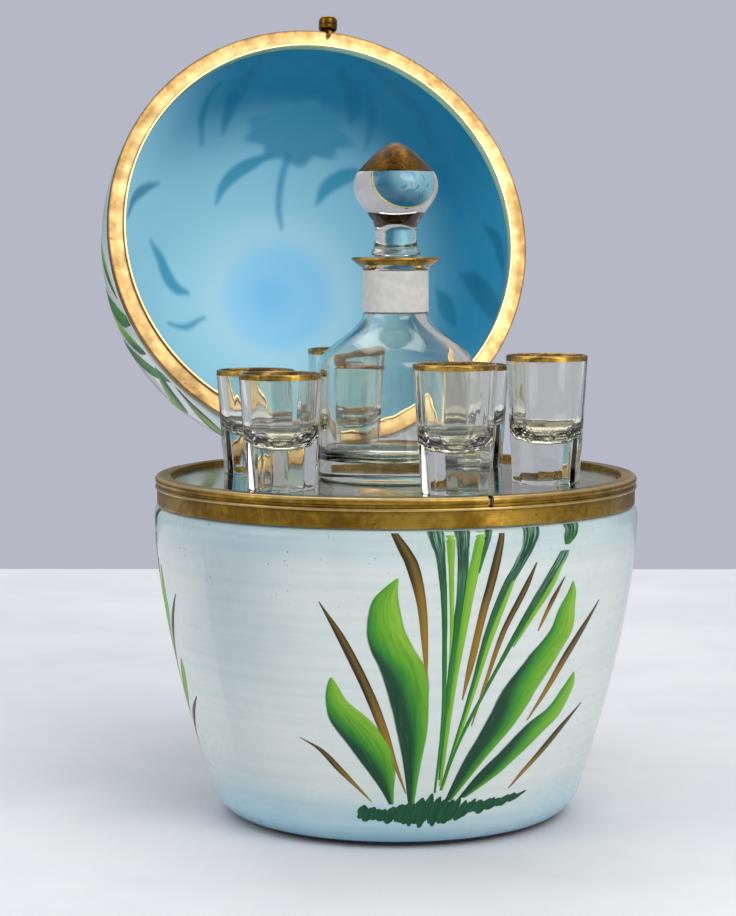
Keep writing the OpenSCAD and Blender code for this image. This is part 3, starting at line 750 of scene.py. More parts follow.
CLUMP = (
    Stroke(Brush.REED, ((-40.5, 51, 0.8), (-35, 46, 3), (-30, 37, 3.6), (-26, 30, 2.2), (-22, 23, 0.6))),
    Stroke(Brush.REED, ((-32.5, 112, 0.5), (-27.5, 96, 4), (-22, 74, 4.6), (-18.5, 57, 4), (-15.5, 41, 2), (-12.5, 27, 0.6))),
    Stroke(Brush.REED, ((-15.5, 141.4, 3.2), (-13.5, 135, 5), (-11.5, 127, 5.5), (-9.5, 111, 4), (-8.5, 91, 2.5), (-8, 78, 0.6))),
    Stroke(Brush.LIGHT, ((-3.4, 142, 4), (-3, 121, 2.2), (-2.5, 95, 1.6), (-2.6, 68, 1.4), (-3.2, 30, 0.8)), 0.3),
    Stroke(Brush.DARK, ((-6.6, 142, 7), (-6.2, 137, 6), (-5.4, 130, 4), (-4.5, 112, 2.6), (-4, 90, 2.2), (-3.6, 59, 1.6), (-4.5, 27, 1)), 0.55),
    Stroke(Brush.LIGHT, ((4, 141.6, 5.5), (1.6, 121, 4.6), (0, 98, 3.2), (-1.5, 72, 2), (-3, 30, 0.8)), 0.3),
    Stroke(Brush.DARK, ((-0.6, 142, 7), (-0.5, 134, 5.4), (-0.6, 121, 4.2), (-1.6, 98, 3.2), (-2.5, 77, 2.2), (-3.5, 33, 1)), 0.5),
    Stroke(Brush.DARK, ((5.6, 142, 3.2), (4.4, 134, 2.4), (3.2, 124, 0.8)), 0.5),
    Stroke(Brush.REED, ((8.5, 140.5, 2.6), (7.4, 130, 3.8), (6, 118, 4), (4.5, 106, 3.6), (2.5, 85, 3), (1, 69, 0.6))),
    Stroke(Brush.LIGHT, ((11.5, 120, 2), (8, 103, 3.2), (5.5, 87, 2.6), (2.5, 64, 1.8), (-2.5, 28, 0.8)), 0.3),
    Stroke(Brush.DARK, ((16.2, 142, 8.5), (15.2, 135, 7), (13, 127, 5.5), (9.6, 116, 4.6), (6, 97, 3.2), (3.5, 76, 2), (0.5, 53, 1.5), (-3, 28, 0.8)), 0.8),
    Stroke(Brush.REED, ((17.5, 127, 0.8), (14.5, 115, 3.3), (10, 98, 2.8), (7, 79, 1.8), (4, 57, 0.6))),
    Stroke(Brush.LIGHT, ((26, 130, 2), (21.6, 115, 3.4), (17.5, 104, 2.4), (13, 91, 1)), 0.3),
    Stroke(Brush.DARK, ((28, 142, 9), (27, 136.5, 7), (26.2, 133.5, 3)), 0.6),
    Stroke(Brush.DARK, ((25.6, 131, 5), (24, 126, 6), (20, 116, 5.2), (15.5, 103, 3.8), (9, 81, 2.2), (1.5, 52, 1.6), (-2.5, 30, 0.8)), 0.8),
    Stroke(Brush.REED, ((26, 119.5, 0.8), (23.5, 112, 2.6), (21.5, 105, 2.4), (19.5, 97, 0.8)), 0.4),
    Stroke(Brush.REED, ((40, 106.5, 0.8), (34, 94, 4.6), (29, 82, 4.8), (24.5, 69, 3.2), (20, 57, 0.8))),
    Stroke(Brush.REED, ((40.5, 60, 1), (33.5, 51, 4.8), (26.5, 40, 4.4), (22, 33, 3), (18, 26, 0.8))),
    Stroke(Brush.LEAF, ((-30.6, 79, 1), (-30.4, 75, 5), (-29.6, 68.5, 9.5), (-26.5, 60, 17.5), (-21.7, 47.7, 17),
                        (-19.1, 37.4, 11.5), (-17.6, 29, 5.5), (-16.5, 22, 2))),
    Stroke(Brush.LEAF, ((-14.8, 122.5, 1), (-16.4, 118, 6), (-17.6, 112, 11), (-17.5, 100.5, 15.5), (-16, 92, 18),
                        (-13.4, 82.7, 19), (-12.1, 70, 16), (-11.2, 55.5, 12.6), (-11, 40, 7.2), (-11, 22, 2.5))),
    Stroke(Brush.LEAF, ((34, 75.5, 1), (33.6, 73, 4), (32.7, 69, 8), (29.8, 61.5, 11), (25.9, 56, 16), (21.6, 50.4, 15),
                        (17.4, 43.9, 13.4), (13.4, 38.3, 12), (9.7, 32.8, 10), (3.5, 24, 3.5))),
    Stroke(Brush.LEAF, ((28.9, 117, 1), (28.8, 112, 5.5), (27.8, 106, 9.6), (26.8, 96, 14.2), (22.5, 86, 17.5),
                        (16.6, 72, 18), (14, 63, 16.6), (10.6, 53, 13.6), (5.7, 41, 9.6), (-0.5, 23, 3))),
)

@dataclass(frozen=True)
class Tuft:
    """The dabs of dark colour at the clump's root: how many, where, and how high they stand."""

    count: int = 84
    left: float = -25.5
    right: float = 21.5
    root: float = -5.5
    low: float = 17.0
    per_degree: float = 1.45

    def dabs(self, rng: np.random.Generator) -> list[Stroke]:
        """Overlapping dabs, each a short slanted line that is widest in its middle.

        Args:
            rng: gives the unevenness of the hand.

        Returns:
            The dabs. They slant to the right at the top, most at the right end, and stand tallest over the root.
        """
        out = []
        for share in rng.permutation(self.count) / (self.count - 1):
            a = self.left + (self.right - self.left) * share + rng.normal(0, 0.5)
            over = math.exp(-((a - self.root) / 8.5) ** 2)
            lean = math.radians(12 + 46 * max(0.0, share - 0.45) / 0.55 + 16 * max(0.0, 0.3 - share) / 0.3 + rng.normal(0, 7))
            long = 5.2 + 7.5 * over * rng.uniform(0.5, 1.0) + rng.uniform(-0.8, 1.2)
            mid = self.low + 2.6 * over * rng.uniform(0.0, 1.6) + 4.6 * max(0.0, share - 0.5) / 0.5 + rng.normal(0, 0.7)
            side, rise = long / 2 * math.sin(lean) / self.per_degree, long / 2 * math.cos(lean)
            width = rng.uniform(2.6, 4.4)
            out.append(Stroke(Brush.DAB, ((a + side, mid + rise, 0.9), (a + side * 0.3, mid + rise * 0.35, width),
                                          (a - side * 0.5, mid - rise * 0.5, width), (a - side, mid - rise, 1.3)), 0.8))
        return out


SPRIG = (
    Stroke(Brush.LEAF, ((-26, 130, 1), (-21, 124, 6), (-14.5, 119, 9), (-6.8, 115, 8), (1, 111, 2))),
    Stroke(Brush.LEAF, ((29.2, 129, 1), (29.3, 121, 7), (31.7, 114, 9), (35.1, 107, 8), (39, 101, 2))),
    Stroke(Brush.DARK, ((8.4, 110, 3.5), (8.2, 125, 3), (10.6, 137, 2.5), (15.5, 143, 1))),
    Stroke(Brush.LEAF, ((-19.1, 92, 1), (-17.5, 78, 6), (-14.9, 60.6, 9), (-12, 43, 8), (-10.4, 27, 3))),
    Stroke(Brush.DARK, ((-27.6, 93, 1), (-27.2, 71.6, 3.4), (-24.9, 54, 3.4), (-21.9, 44, 1))),
    Stroke(Brush.LEAF, ((25.2, 77, 1), (22.4, 60, 9), (17.6, 45, 9), (14.3, 33, 2))),
    Stroke(Brush.LEAF, ((51.6, 57, 1), (43.6, 42, 9), (35.1, 35, 10), (26.9, 27.7, 9), (18.5, 20, 2))),
    Stroke(Brush.DARK, ((34.3, 89, 1), (31, 68, 3.6), (26.8, 52.7, 3.6), (23, 41, 1))),
    Stroke(Brush.LEAF, ((-49.5, 96, 1), (-56.3, 87.6, 7), (-61.9, 82, 8), (-68, 84, 2))),
    Stroke(Brush.LEAF, ((-66.9, 115, 1), (-70.3, 125.7, 6), (-76.6, 133, 8), (-80.8, 138.8, 6), (-81, 144, 2))),
    Stroke(Brush.DARK, ((-103, 132, 1), (-106, 142, 3), (-100, 149.5, 1))),
    Stroke(Brush.LEAF, ((91, 75, 1), (95.4, 63.4, 10), (101.2, 50, 13), (107.4, 34.4, 11), (112, 20, 3))),
    Stroke(Brush.LEAF, ((80.6, 44.5, 1), (85.8, 35, 8), (91, 31, 9), (97, 27.5, 2))),
    Stroke(Brush.LEAF, ((93.5, 94, 1), (100.8, 86, 11), (108.5, 75, 2))),
)

BACK_SPRIG = (
    Stroke(Brush.DARK, ((-92, 84, 1), (-97, 62, 9), (-103, 42, 13), (-109, 22, 14), (-113, 6, 6))),
    Stroke(Brush.DARK, ((-112, 74, 1), (-117, 50, 11), (-124, 28, 14), (-131, 8, 7))),
    Stroke(Brush.LEAF, ((-104, 50, 1), (-112, 34, 12), (-118, 20, 12), (-122, 9, 4))),
    Stroke(Brush.LEAF, ((-84, 46, 1), (-90, 30, 12), (-98, 17, 13), (-106, 8, 4))),
    Stroke(Brush.LEAF, ((-136, 60, 1), (-138, 42, 12), (-134, 25, 13), (-128, 10, 4))),
    Stroke(Brush.LEAF, ((-152, 44, 1), (-148, 28, 10), (-142, 16, 11), (-135, 8, 4))),
    Stroke(Brush.LEAF, ((140, 66, 1), (146, 48, 12), (152, 30, 14), (158, 12, 4))),
    Stroke(Brush.LEAF, ((176, 70, 1), (170, 50, 12), (166, 30, 13), (161, 12, 4))),
    Stroke(Brush.REED, ((128, 74, 1), (136, 52, 3.5), (146, 30, 4), (155, 12, 1))),
    Stroke(Brush.REED, ((-160, 78, 1), (-154, 56, 3.5), (-146, 32, 4), (-138, 12, 1))),
)


@dataclass
class Painter:
    """Lays strokes on a turned glass wall as thin raised enamel.

    A stroke is a grid in two parameters: t along its path and u across it. A point stands at the path's angle plus
    u times half the width along the wall, at the path's height, out by the enamel's thickness, which is full in the
    middle and falls below the glass at the sides. The same grid, set a little into the glass, closes it behind.
    """

    wall: Callable[[Array], Array]
    thickness: float = 0.08
    pile: float = 0.006
    sunk: float = 0.25
    swell: float = 1.1
    place: Callable[[Array], Array] | None = None
    steps: int = 44
    rng: np.random.Generator = field(default_factory=lambda: np.random.default_rng(SEED))

    def _out(self, angle: Array, z: Array, off: Array) -> Array:
        """The point at an angle and height, off millimetres out from the wall along its own slope's normal."""
        r = self.wall(z)
        lean = (self.wall(z + 0.5) - self.wall(z - 0.5))
        size = np.hypot(1, lean)
        r, z, a = r + off / size, z - off * lean / size, np.radians(angle)
        return np.stack([r * np.sin(a), -r * np.cos(a), z], -1)

    def lay(self, builder: Builder, stroke: Stroke, turn: float = 0.0, layer: int = 0, base: float = 0.0) -> None:
        """Adds one stroke.

        Args:
            builder: the mesh that it joins.
            stroke: what to lay.
            turn: degrees to turn it round the wall.
            layer: its place in the pile of strokes, so that a later one covers an earlier one.
            base: height added to the stroke's own heights.
        """
        path = spline(stroke.path, self.steps)
        wobble = np.convolve(self.rng.normal(0, 1, self.steps + 4), np.ones(5) / 5, "valid") * 0.12 * stroke.ragged
        angle, z = path[:, :1] + turn, path[:, 1:2] + base
        half = np.maximum(path[:, 2:], 0.3) / 2 * self.swell * (1 + wobble[:, None])
        t = np.linspace(0, 1, self.steps)[:, None]
        u = np.sin(np.linspace(-math.pi / 2, math.pi / 2, 13))[None, :]
        thick = (self.thickness + self.pile * layer) * np.clip(1 - np.abs(u) ** 5, 0, 1)
        spread = np.degrees(u * half / self.wall(z))
        front = self._out(angle + spread, z + 0 * u, thick - 0.02 + 0.0 * z)
        back = self._out(angle + spread, z + 0 * u, 0 * thick - self.sunk + 0 * z)
        points = np.concatenate([front, back[:, ::-1]], 1)[::-1]
        across = np.concatenate([u, u[:, ::-1]], 1) + 0 * t
        paint = stroke.colour(t, across)[::-1]
        length = np.concatenate([[0], np.cumsum(np.hypot(*np.diff(
            np.concatenate([np.radians(angle) * self.wall(z), z], 1), axis=0).T))])[:, None]
        start = self.rng.uniform(0, 1)
        uv = np.stack([length * MM + start + 0 * across, across * 0.5 + 0.5], -1)[::-1]
        uv = np.concatenate([uv, uv[:, :1]], 1)
        uv = np.concatenate([uv, uv[:1]], 0)
        splay = smooth(0.6, 0.05, t) * (stroke.brush is Brush.DARK and base == 0) + 0 * across
        marks = {"paint": paint, "across": np.abs(across)[::-1] + 0.0, "splay": splay[::-1],
                 "ragged": np.full(across.shape, stroke.ragged)}
        if self.place:
            points = self.place(points)
        pad = lambda grid: np.concatenate([np.repeat(grid[:1].mean(1, keepdims=True), grid.shape[1], 1), grid,
                                           np.repeat(grid[-1:].mean(1, keepdims=True), grid.shape[1], 1)], 0)
        uv = np.concatenate([uv[:1], uv, uv[-1:]], 0)
        builder.grid(pad(points), uv=uv, **{k: pad(v) for k, v in marks.items()})

    def samples(self, strokes: Sequence[Stroke], turn: float = 0.0, base: float = 0.0) -> tuple[Array, Array]:
        """Points along the middle of every stroke, on the wall, and half the stroke's width at each."""
        paths = np.vstack([spline(s.path, 40) for s in strokes])
        points = self._out(paths[:, 0] + turn, paths[:, 1] + base, 0 * paths[:, 0])
        return points, np.maximum(paths[:, 2], 0) / 2


def nearness(points: Array, centres: Array, halves: Array) -> Array:
    """How far each point is from the nearest stroke's side, in millimetres, below 0 inside it.

    Args:
        points: the surface's points, any shape by 3.
        centres: points along the strokes.
        halves: half the stroke's width at each of those points.

    Returns:
        The least distance to a centre less the half width there.
    """
    flat = points.reshape(-1, 3)
    least = np.full(len(flat), np.inf)
    for start in range(0, len(flat), 8000):
        part = flat[start:start + 8000]
        away = np.sqrt(((part[:, None] - centres[None]) ** 2).sum(-1)) - halves[None]
        least[start:start + 8000] = away.min(1)
    return least.reshape(points.shape[:-1])


# Sub-assemblies

def corner_of(node: str, high: bool = True) -> Vector:
    """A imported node's highest or lowest corner, in millimetres."""
    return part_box(node)[1 if high else 0] / MM


LID_JOINT = next(j for j in frame["joints"] if j["name"] == "lid_hinge")


@dataclass
class Hinge:
    """Where the lid turns, and how far it stands open."""

    y: float = LID_JOINT["pos_m"][1] / MM
    z: float = LID_JOINT["pos_m"][2] / MM
    open_deg: float = -LID_JOINT["range_deg"][0]

    def opened(self, points: Array) -> Array:
        """Turns points of the shut lid to where it stands open: a turn about X through the hinge."""
        a = math.radians(self.open_deg)
        y, z = points[..., 1] - self.y, points[..., 2] - self.z
        return np.stack([points[..., 0], self.y + y * math.cos(a) + z * math.sin(a),
                         self.z - y * math.sin(a) + z * math.cos(a)], -1)


@dataclass
class Bowl:
    """The opaline bowl with its painted clumps of reeds and the dark line round its foot, partly a painted shadow."""

    palette: Palette
    joint_z: float = corner_of("base_rim_band").z
    widest: float = corner_of("base_bowl").x - 0.13
    neck_top: float = corner_of("base_bowl").z
    taper: float = 26.0
    corner: float = 12.0
    inset: float = 12.5
    wall: float = 5.0
    floor: float = 10.0
    shoulder_z: float = 138.0
    shoulder_h: float = 4.6
    neck_r: float = 107.0
    neck_in: float = 104.4
    turns: tuple[float, ...] = (0.0, 120.0, 240.0)

    def radius(self, z: Array) -> Array:
        """The outer radius: widest, less a power of the way down from the shoulder, less the round foot corner."""
        down = np.maximum(0, 1 - (z - self.corner) / (self.shoulder_z - self.corner))
        low = np.clip((self.corner - z) / self.corner, 0, 1)
        over = np.clip((z - self.shoulder_z) / self.shoulder_h, 0, 0.97)
        drawn = (self.widest - self.neck_r) * (1 - np.sqrt(1 - over ** 2))
        return self.widest - self.taper * down ** 1.6 - self.inset * (1 - np.sqrt(1 - low ** 2)) - drawn

    def profile(self) -> Array:
        """The bowl's section from the middle of the foot, up the outside and down the inside."""
        low = self.corner * (1 - np.cos(np.radians(np.linspace(0, 90, 14))))
        side = np.linspace(self.corner, self.shoulder_z, 96)[1:]
        z = np.concatenate([low, side])
        outside = np.stack([self.radius(z), z], 1)
        a = np.radians(np.linspace(0, 90, 8)[1:])
        shoulder = np.stack([self.neck_r + (self.widest - self.neck_r) * np.cos(a),
                             self.shoulder_z + self.shoulder_h * np.sin(a)], 1)
        neck = [[self.neck_r, self.neck_top], [self.neck_in, self.neck_top], [self.neck_in, self.shoulder_z + self.wall]]
        z = np.linspace(self.shoulder_z, self.floor, 14)
        inside = np.stack([self.radius(z) - self.wall, z], 1)
        return np.vstack([[[0, 0]], outside, shoulder, neck, inside, [[0, self.floor]]])

    def paint(self, points: Array, degrees: Array) -> Array:
        """The sprayed coat's colour: blue near the foot, pale above, whiter round the painted clumps."""
        z = points[..., 2]
        painter = Painter(self.radius)
        centres, halves = painter.samples(CLUMP)
        root = -4.0
        folded = np.radians((degrees - root + 60) % 120 - 60 + root)
        r = np.hypot(points[..., 0], points[..., 1])
        near = nearness(np.stack([r * np.sin(folded), -r * np.cos(folded), z], -1), centres, halves)
        tone = blend(np.array(rgb("#c3d0ce")), np.array(rgb("#adbdc2")), smooth(50, 130, z))
        sway = 3 * np.sin(np.radians(degrees * 3 + 40)) + 2 * np.sin(np.radians(degrees * 7))
        tone = blend(tone, np.array(rgb("#d6e0dd")), 0.85 * smooth(48, 3, near) * smooth(10, 26, z))
        tone = blend(tone, np.array(rgb("#a9cfdd")), 0.9 * smooth(30, 9, z + sway))
        tone = blend(tone, np.array(rgb("#86b8d2")), 0.7 * smooth(12, 2, z + sway * 0.4))
        return blend(tone, np.array(rgb("#9fc0cc")), 0.4 * smooth(124, 137, z))

    def build(self) -> None:
        """Builds the glass, the enamel and the foot line, partly a painted shadow."""
        body = Builder("bowl_glass")
        lathe(body, self.profile(), around(396), paint=self.paint,
              dotted=lambda p, a: smooth(96, 132, p[..., 2]) * (0.4 + 0.6 * np.cos(np.radians(a + 60)) ** 2))
        dressed(body.make(self.palette.bowl), "base", Slot.OPALINE, "base_bowl")
        painter = Painter(self.radius)
        enamel = Builder("bowl_enamel")
        tufts = Builder("bowl_tufts")
        for turn in self.turns:
            for layer, stroke in enumerate(CLUMP):
                painter.lay(enamel, stroke, turn, layer)
            for layer, dab in enumerate(Tuft().dabs(painter.rng)):
                painter.lay(tufts, dab, turn, 1 + layer % 7)
        dressed(enamel.make(self.palette.enamel), "base", Slot.OPALINE)
        dressed(tufts.make(self.palette.enamel), "base", Slot.OPALINE)
        self._foot_line_and_shadow()

    def _foot_line_and_shadow(self) -> None:
        """The dark line at the foot's edge, partly a painted contact shadow: a thin band that follows the foot corner's
        own curve.
        """
        z = np.linspace(0.3, 2.9, 14)
        outer = np.stack([self.radius(z) + 0.12, z], 1)
        inner = np.stack([self.radius(z[::-1]) - 0.3, z[::-1]], 1)
        line = Builder("bowl_foot_line")
        # Painted shadow: the navy band stands partly for the contact shadow under the foot.
        dark = np.array(rgb("#061c3c"))
        lathe(line, np.vstack([outer, inner]), around(256), closed=True,
              paint=lambda p, a: np.broadcast_to(dark, p.shape[:2] + (4,)),
              across=lambda p, a: np.zeros(p.shape[:2]), ragged=lambda p, a: np.zeros(p.shape[:2]))
        dressed(line.make(self.palette.line), "base", Slot.OPALINE)


@dataclass
class MouthRing:
    """The brass ring round the bowl's mouth, with its slot, and the mirror tray inside it."""

    palette: Palette
    outer: float = corner_of("base_rim_band").x
    top: float = corner_of("base_rim_band").z
    low: float = corner_of("base_rim_band", False).z
    face: float = 7.0
    sheet: float = 1.2
    moulding: float = 1.8
    bead: float = 0.9
    slot_w: float = 2.3
    slot_h: float = 4.6
    slot_depth: float = 3.6
    turn: float = 6.0
    plate_r: float = corner_of("tray_plate").x
    plate_top: float = corner_of("tray_plate").z
    plate_low: float = corner_of("tray_plate", False).z

    def profile(self) -> Array:
        """The ring's section: a channel with a rolled foot, a bead, a rounded edge and a flat face."""
        inner = self.outer - self.face
        wall = self.outer - self.moulding + 1
        bead_z = self.top - 2 * self.moulding - 1.5
        bead_a = math.degrees(math.acos(0.1 / self.bead))
        edge_a = math.degrees(math.acos((wall - self.outer + self.moulding) / self.moulding))
        return np.vstack([
            [[inner, self.low + 0.3], [inner + 0.3, self.low], [inner + self.sheet, self.low],
             [inner + self.sheet, self.top - self.sheet], [wall - 1, self.top - self.sheet]],
            arc(wall - 0.5, self.low + 0.5, 0.5, 180, 360, 10),
            np.stack([np.full(6, wall), np.linspace(self.low + 1, bead_z - self.bead - 0.3, 6)], 1),
            arc(wall - 0.1, bead_z, self.bead, -bead_a, bead_a, 16),
            arc(self.outer - self.moulding, self.top - self.moulding, self.moulding, -edge_a, 90, 18),
            np.stack([np.linspace(self.outer - self.moulding - 0.8, inner + 0.5, 5), np.full(5, self.top)], 1),
            [[inner + 0.15, self.top - 0.12], [inner, self.top - 0.4]]])

    def _cut(self, points: Array, degrees: Array) -> Array:
        """Sets the slot into the ring: inside its width, what is above its floor moves in to its back."""
        away = np.abs((degrees - self.turn + 180) % 360 - 180)
        inside = (away < self._half() + 1e-4)[None, :]
        r = np.hypot(points[..., 0], points[..., 1])
        back = self.outer - self.slot_depth
        deep = inside & (points[..., 2] > self.top - self.slot_h) & (r > back)
        thin = np.where(np.arange(len(r))[:, None] < 5, 0.6, 0.0)
        scale = np.where(deep, (back - thin) / r, 1)
        return points * np.stack([scale, scale, np.ones_like(scale)], -1)

    def _half(self) -> float:
        """Half the slot's width as an angle."""
        return math.degrees(self.slot_w / 2 / self.outer)

    def _wear_and_highlight(self, points: Array, degrees: Array) -> Array:
        """Where the ring is worn bright, with a painted highlight: the rounded top edge and the bead's crest."""
        r, z = np.hypot(points[..., 0], points[..., 1]), points[..., 2]
        top = smooth(self.outer - 2.6, self.outer - 0.5, r) * smooth(self.top - 1.6, self.top - 0.2, z)
        bead_z = self.top - 2 * self.moulding - 1.5
        crest = smooth(self.outer - 0.5, self.outer - 0.05, r) * smooth(0.8, 0.2, np.abs(z - bead_z))
        return np.clip(top + 0.8 * crest, 0, 1)

    def _groove(self, points: Array, degrees: Array) -> Array:
        """Where shade is painted: the hollows beside the bead and the slot's inside."""
        r, z = np.hypot(points[..., 0], points[..., 1]), points[..., 2]
        bead_z = self.top - 2 * self.moulding - 1.5
        hollow = smooth(0.5, 0.1, np.abs(np.abs(z - bead_z) - self.bead)) * smooth(self.outer - 0.5, self.outer - 0.8, r)
        slot = smooth(self.outer - 3.4, self.outer - 3.6, r) * (z > self.top - self.slot_h + 0.1)
        away = np.abs((degrees - self.turn + 180) % 360 - 180) < self._half() + 1e-4
        return np.clip(0.4 * hollow + 0.8 * slot * away, 0, 1)

    def build(self) -> None:
        """Builds the ring and the mirror."""
        half = self._half()
        extra = [self.turn - half - 0.02, self.turn - half, self.turn + half, self.turn + half + 0.02]
        ring = Builder("mouth_ring")
        lathe(ring, self.profile(), around(480, extra), closed=True, reshape=self._cut,
              edge=self._wear_and_highlight, groove=self._groove)
        dressed(ring.make(self.palette.ring, 30), "base", Slot.RING_BRASS, "base_rim_band")
        bevel = 0.6
        plate = Builder("mirror_plate")
        section = rounded([(self.plate_r, self.plate_low, 0.2), (self.plate_r, self.plate_top - bevel, 0.1),
                           (self.plate_r - bevel, self.plate_top, 0.08)], 2)
        section = np.vstack([[[0, self.plate_low]], section, [[0, self.plate_top]]])
        lathe(plate, section, around(256))
        dressed(plate.make(self.palette.mirror, 20), "base", Slot.MIRROR, "tray_plate")


@dataclass
class Lid:
    """The domed lid: glass with its paint outside and painted light and shade inside, the ring, the seat ring and the
    knob.
    """

    palette: Palette
    hinge: Hinge
    joint_z: float = corner_of("base_rim_band").z
    gap: float = 0.25
    outer: float = corner_of("base_rim_band").x
    face: float = 7.0
    ring_h: float = 5.0
    sheet: float = 1.2
    drop: float = 1.6
    dome_r: float = corner_of("lid_dome").x
    dome_h: float = 155.75
    wall: float = 3.3
    turn: float = 6.0
    knob_r: float = 4.8
    knob_l: float = 9.0

    @property
    def low(self) -> float:
        """The underside of the lid's ring, shut."""
        return self.joint_z + self.gap

    @property
    def spring(self) -> float:
        """Where the dome starts, shut."""
        return self.low + self.ring_h + 0.35

    def outside(self, z: Array) -> Array:
        """The dome's outer radius at a height, a half ellipse."""
        t = np.clip((z - self.spring - 1) / (self.dome_h - 1), 0, 0.9999)
        return self.dome_r * np.sqrt(1 - t * t)

    def inside(self, z: Array) -> Array:
        """The dome's inner radius at a height."""
        t = np.clip((z - self.spring - 2.4) / (self.dome_h - self.wall - 2.4), 0, 0.9999)
        return (self.dome_r - self.wall) * np.sqrt(1 - t * t)

    def profile(self) -> Array:
        """The dome's section, from its neck up the outside to the pole and down the inside."""
        a = np.radians(np.linspace(0, 90, 97))
        out = np.stack([self.dome_r * np.cos(a), self.spring + 1 + (self.dome_h - 1) * np.sin(a)], 1)
        a = np.radians(np.linspace(90, 0, 129))
        deep = self.dome_h - self.wall - 2.4
        inn = np.stack([(self.dome_r - self.wall) * np.cos(a), self.spring + 2.4 + deep * np.sin(a)], 1)
        out[-1, 0] = inn[0, 0] = 0
        neck_in, neck = self.outer - self.face + 0.2, self.outer - self.face + 3.6
        foot = self.low + self.sheet + 1
        start = [[neck_in, foot], [neck, foot], [neck, self.spring], [self.dome_r - 1, self.spring]]
        return np.vstack([start, out]), np.vstack([inn, [[neck_in, self.spring - 0.6], start[0]]])

    def paint_out(self, points: Array, degrees: Array) -> Array:
        """The sprayed coat outside: pale blue, bluer at the pole and by the ring, whiter round the sprigs."""
        up = (points[..., 2] - self.spring) / self.dome_h
        painter = Painter(self.outside)
        near = nearness(points, *painter.samples(SPRIG + BACK_SPRIG, base=self.low))
        tone = blend(np.array(rgb("#bcd3da")), np.array(rgb("#a9cbe0")), smooth(0.45, 0.9, up))
        tone = blend(tone, np.array(rgb("#7fb2d6")), smooth(0.93, 1.0, up))
        tone = blend(tone, np.array(rgb("#8fb9cd")), 0.6 * smooth(0.14, 0.0, up))
        return blend(tone, np.array(rgb("#dfe6df")), 0.7 * smooth(10, 1, near))

    def paint_in_with_painted_light(self, points: Array, degrees: Array) -> Array:
        """The inner skin's colour, painted light and shade of what shows through the glass: painted shade in deep
        blue-green by the front and right of the rim, partly the coat's own colour, grey-blue towards the middle, a
        painted pool of light near the pole, partly the pale bare glass there, and the outside's strokes as blurred
        painted shadows."""
        height = points[..., 2] - self.low
        way = (degrees + 180) % 360 - 180
        # Painted shade: deep blue-green by the front and right of the rim, partly the sprayed coat's own colour.
        deep = smooth(-62, -15, way) * smooth(170, 105, way) * smooth(128, 60, height)
        tone = blend(np.array(rgb("#92c4d4")), np.array(rgb("#a0cedd")), smooth(120, 150, height))
        tone = blend(tone, np.array(rgb("#02698c")), deep)
        tone = blend(tone, np.array(rgb("#2583a6")), 0.7 * deep * smooth(55, 85, way))
        pole = self.spring + self.dome_h - self.wall
        # A painted pool of light near the pole, partly the pale bare glass there.
        light_pool = self.from_light_pool(points, pole)
        tone = blend(tone, np.array(rgb("#b0d4e1")), 0.8 * smooth(58, 38, light_pool))
        tone = blend(tone, np.array(rgb("#93cbe8")), smooth(37, 24, light_pool))
        tone = blend(tone, np.array(rgb("#6fb8e0")), 0.5 * smooth(20, 4, self.from_light_pool(points, pole, (4.0, -6.0))))
        # Painted shadows: the outside's strokes and the big flower, dark and blurred as seen through the glass.
        painter = Painter(self.inside)
        near = nearness(points, *painter.samples(SPRIG, base=self.low))
        stroke_shadow = smooth(2.4, -1.8, near)
        shadow = blend(np.array(rgb("#005f80")), np.array(rgb("#1a87a6")), smooth(60, 125, height))
        tone = blend(tone, shadow, 0.82 * stroke_shadow)
        return blend(tone, np.array(rgb("#37829f")), 0.85 * self.flower(points, blur=3.6))

    @staticmethod
    def from_light_pool(points: Array, pole: float, aside: tuple[float, float] = (10.5, -6.0)) -> Array:
        """Distance from the middle of the painted pool of light, which lies aside from the pole by the given x and y.
        """
        centre = np.array([*aside, pole - 1.5])
        return np.sqrt(((points - centre) ** 2).sum(-1))

    def flower(self, points: Array, blur: float) -> Array:
        """The big flower's mask: an ellipse on the wall whose edge goes in and out with its petals."""
        mid_angle, mid_z, half_w, half_h = 9.0, self.low + 93.5, 27.5, 23.0
        a = np.radians(mid_angle)
        r = float(self.inside(np.array(mid_z)))
        centre = np.array([r * np.sin(a), -r * np.cos(a), mid_z])
        along = np.array([np.cos(a), np.sin(a), 0])
        slope = float(self.inside(np.array(mid_z + 1)) - self.inside(np.array(mid_z - 1))) / 2
        rise = np.array([slope * np.sin(a), -slope * np.cos(a), 1]) / math.hypot(slope, 1)
        x, y = (points - centre) @ along, (points - centre) @ rise
        out = (points - centre) @ np.cross(along, rise)
        way = np.arctan2(y / half_h, x / half_w)
        edge = 1 + 0.09 * np.cos(way * 9 + 0.6) + 0.06 * np.cos(way * 4)
        gone = np.hypot(x / half_w, y / half_h) / edge
        return smooth(1 + blur / half_w, 1 - blur / half_w, gone) * (np.abs(out) < 30)

    def build(self) -> None:
        """Builds the dome, its enamel, the rings and the knob."""
        outer, inner = self.profile()
        self._dome(outer, inner)
        self._rings()
        self._knob()
        painter = Painter(self.outside, place=self.hinge.opened)
        enamel = Builder("dome_enamel")
        for layer, stroke in enumerate(SPRIG + BACK_SPRIG):
            painter.lay(enamel, stroke, 0.0, layer, base=self.low)
        self._petals(painter, enamel)
        dressed(enamel.make(self.palette.enamel), "lid", Slot.OPALINE)

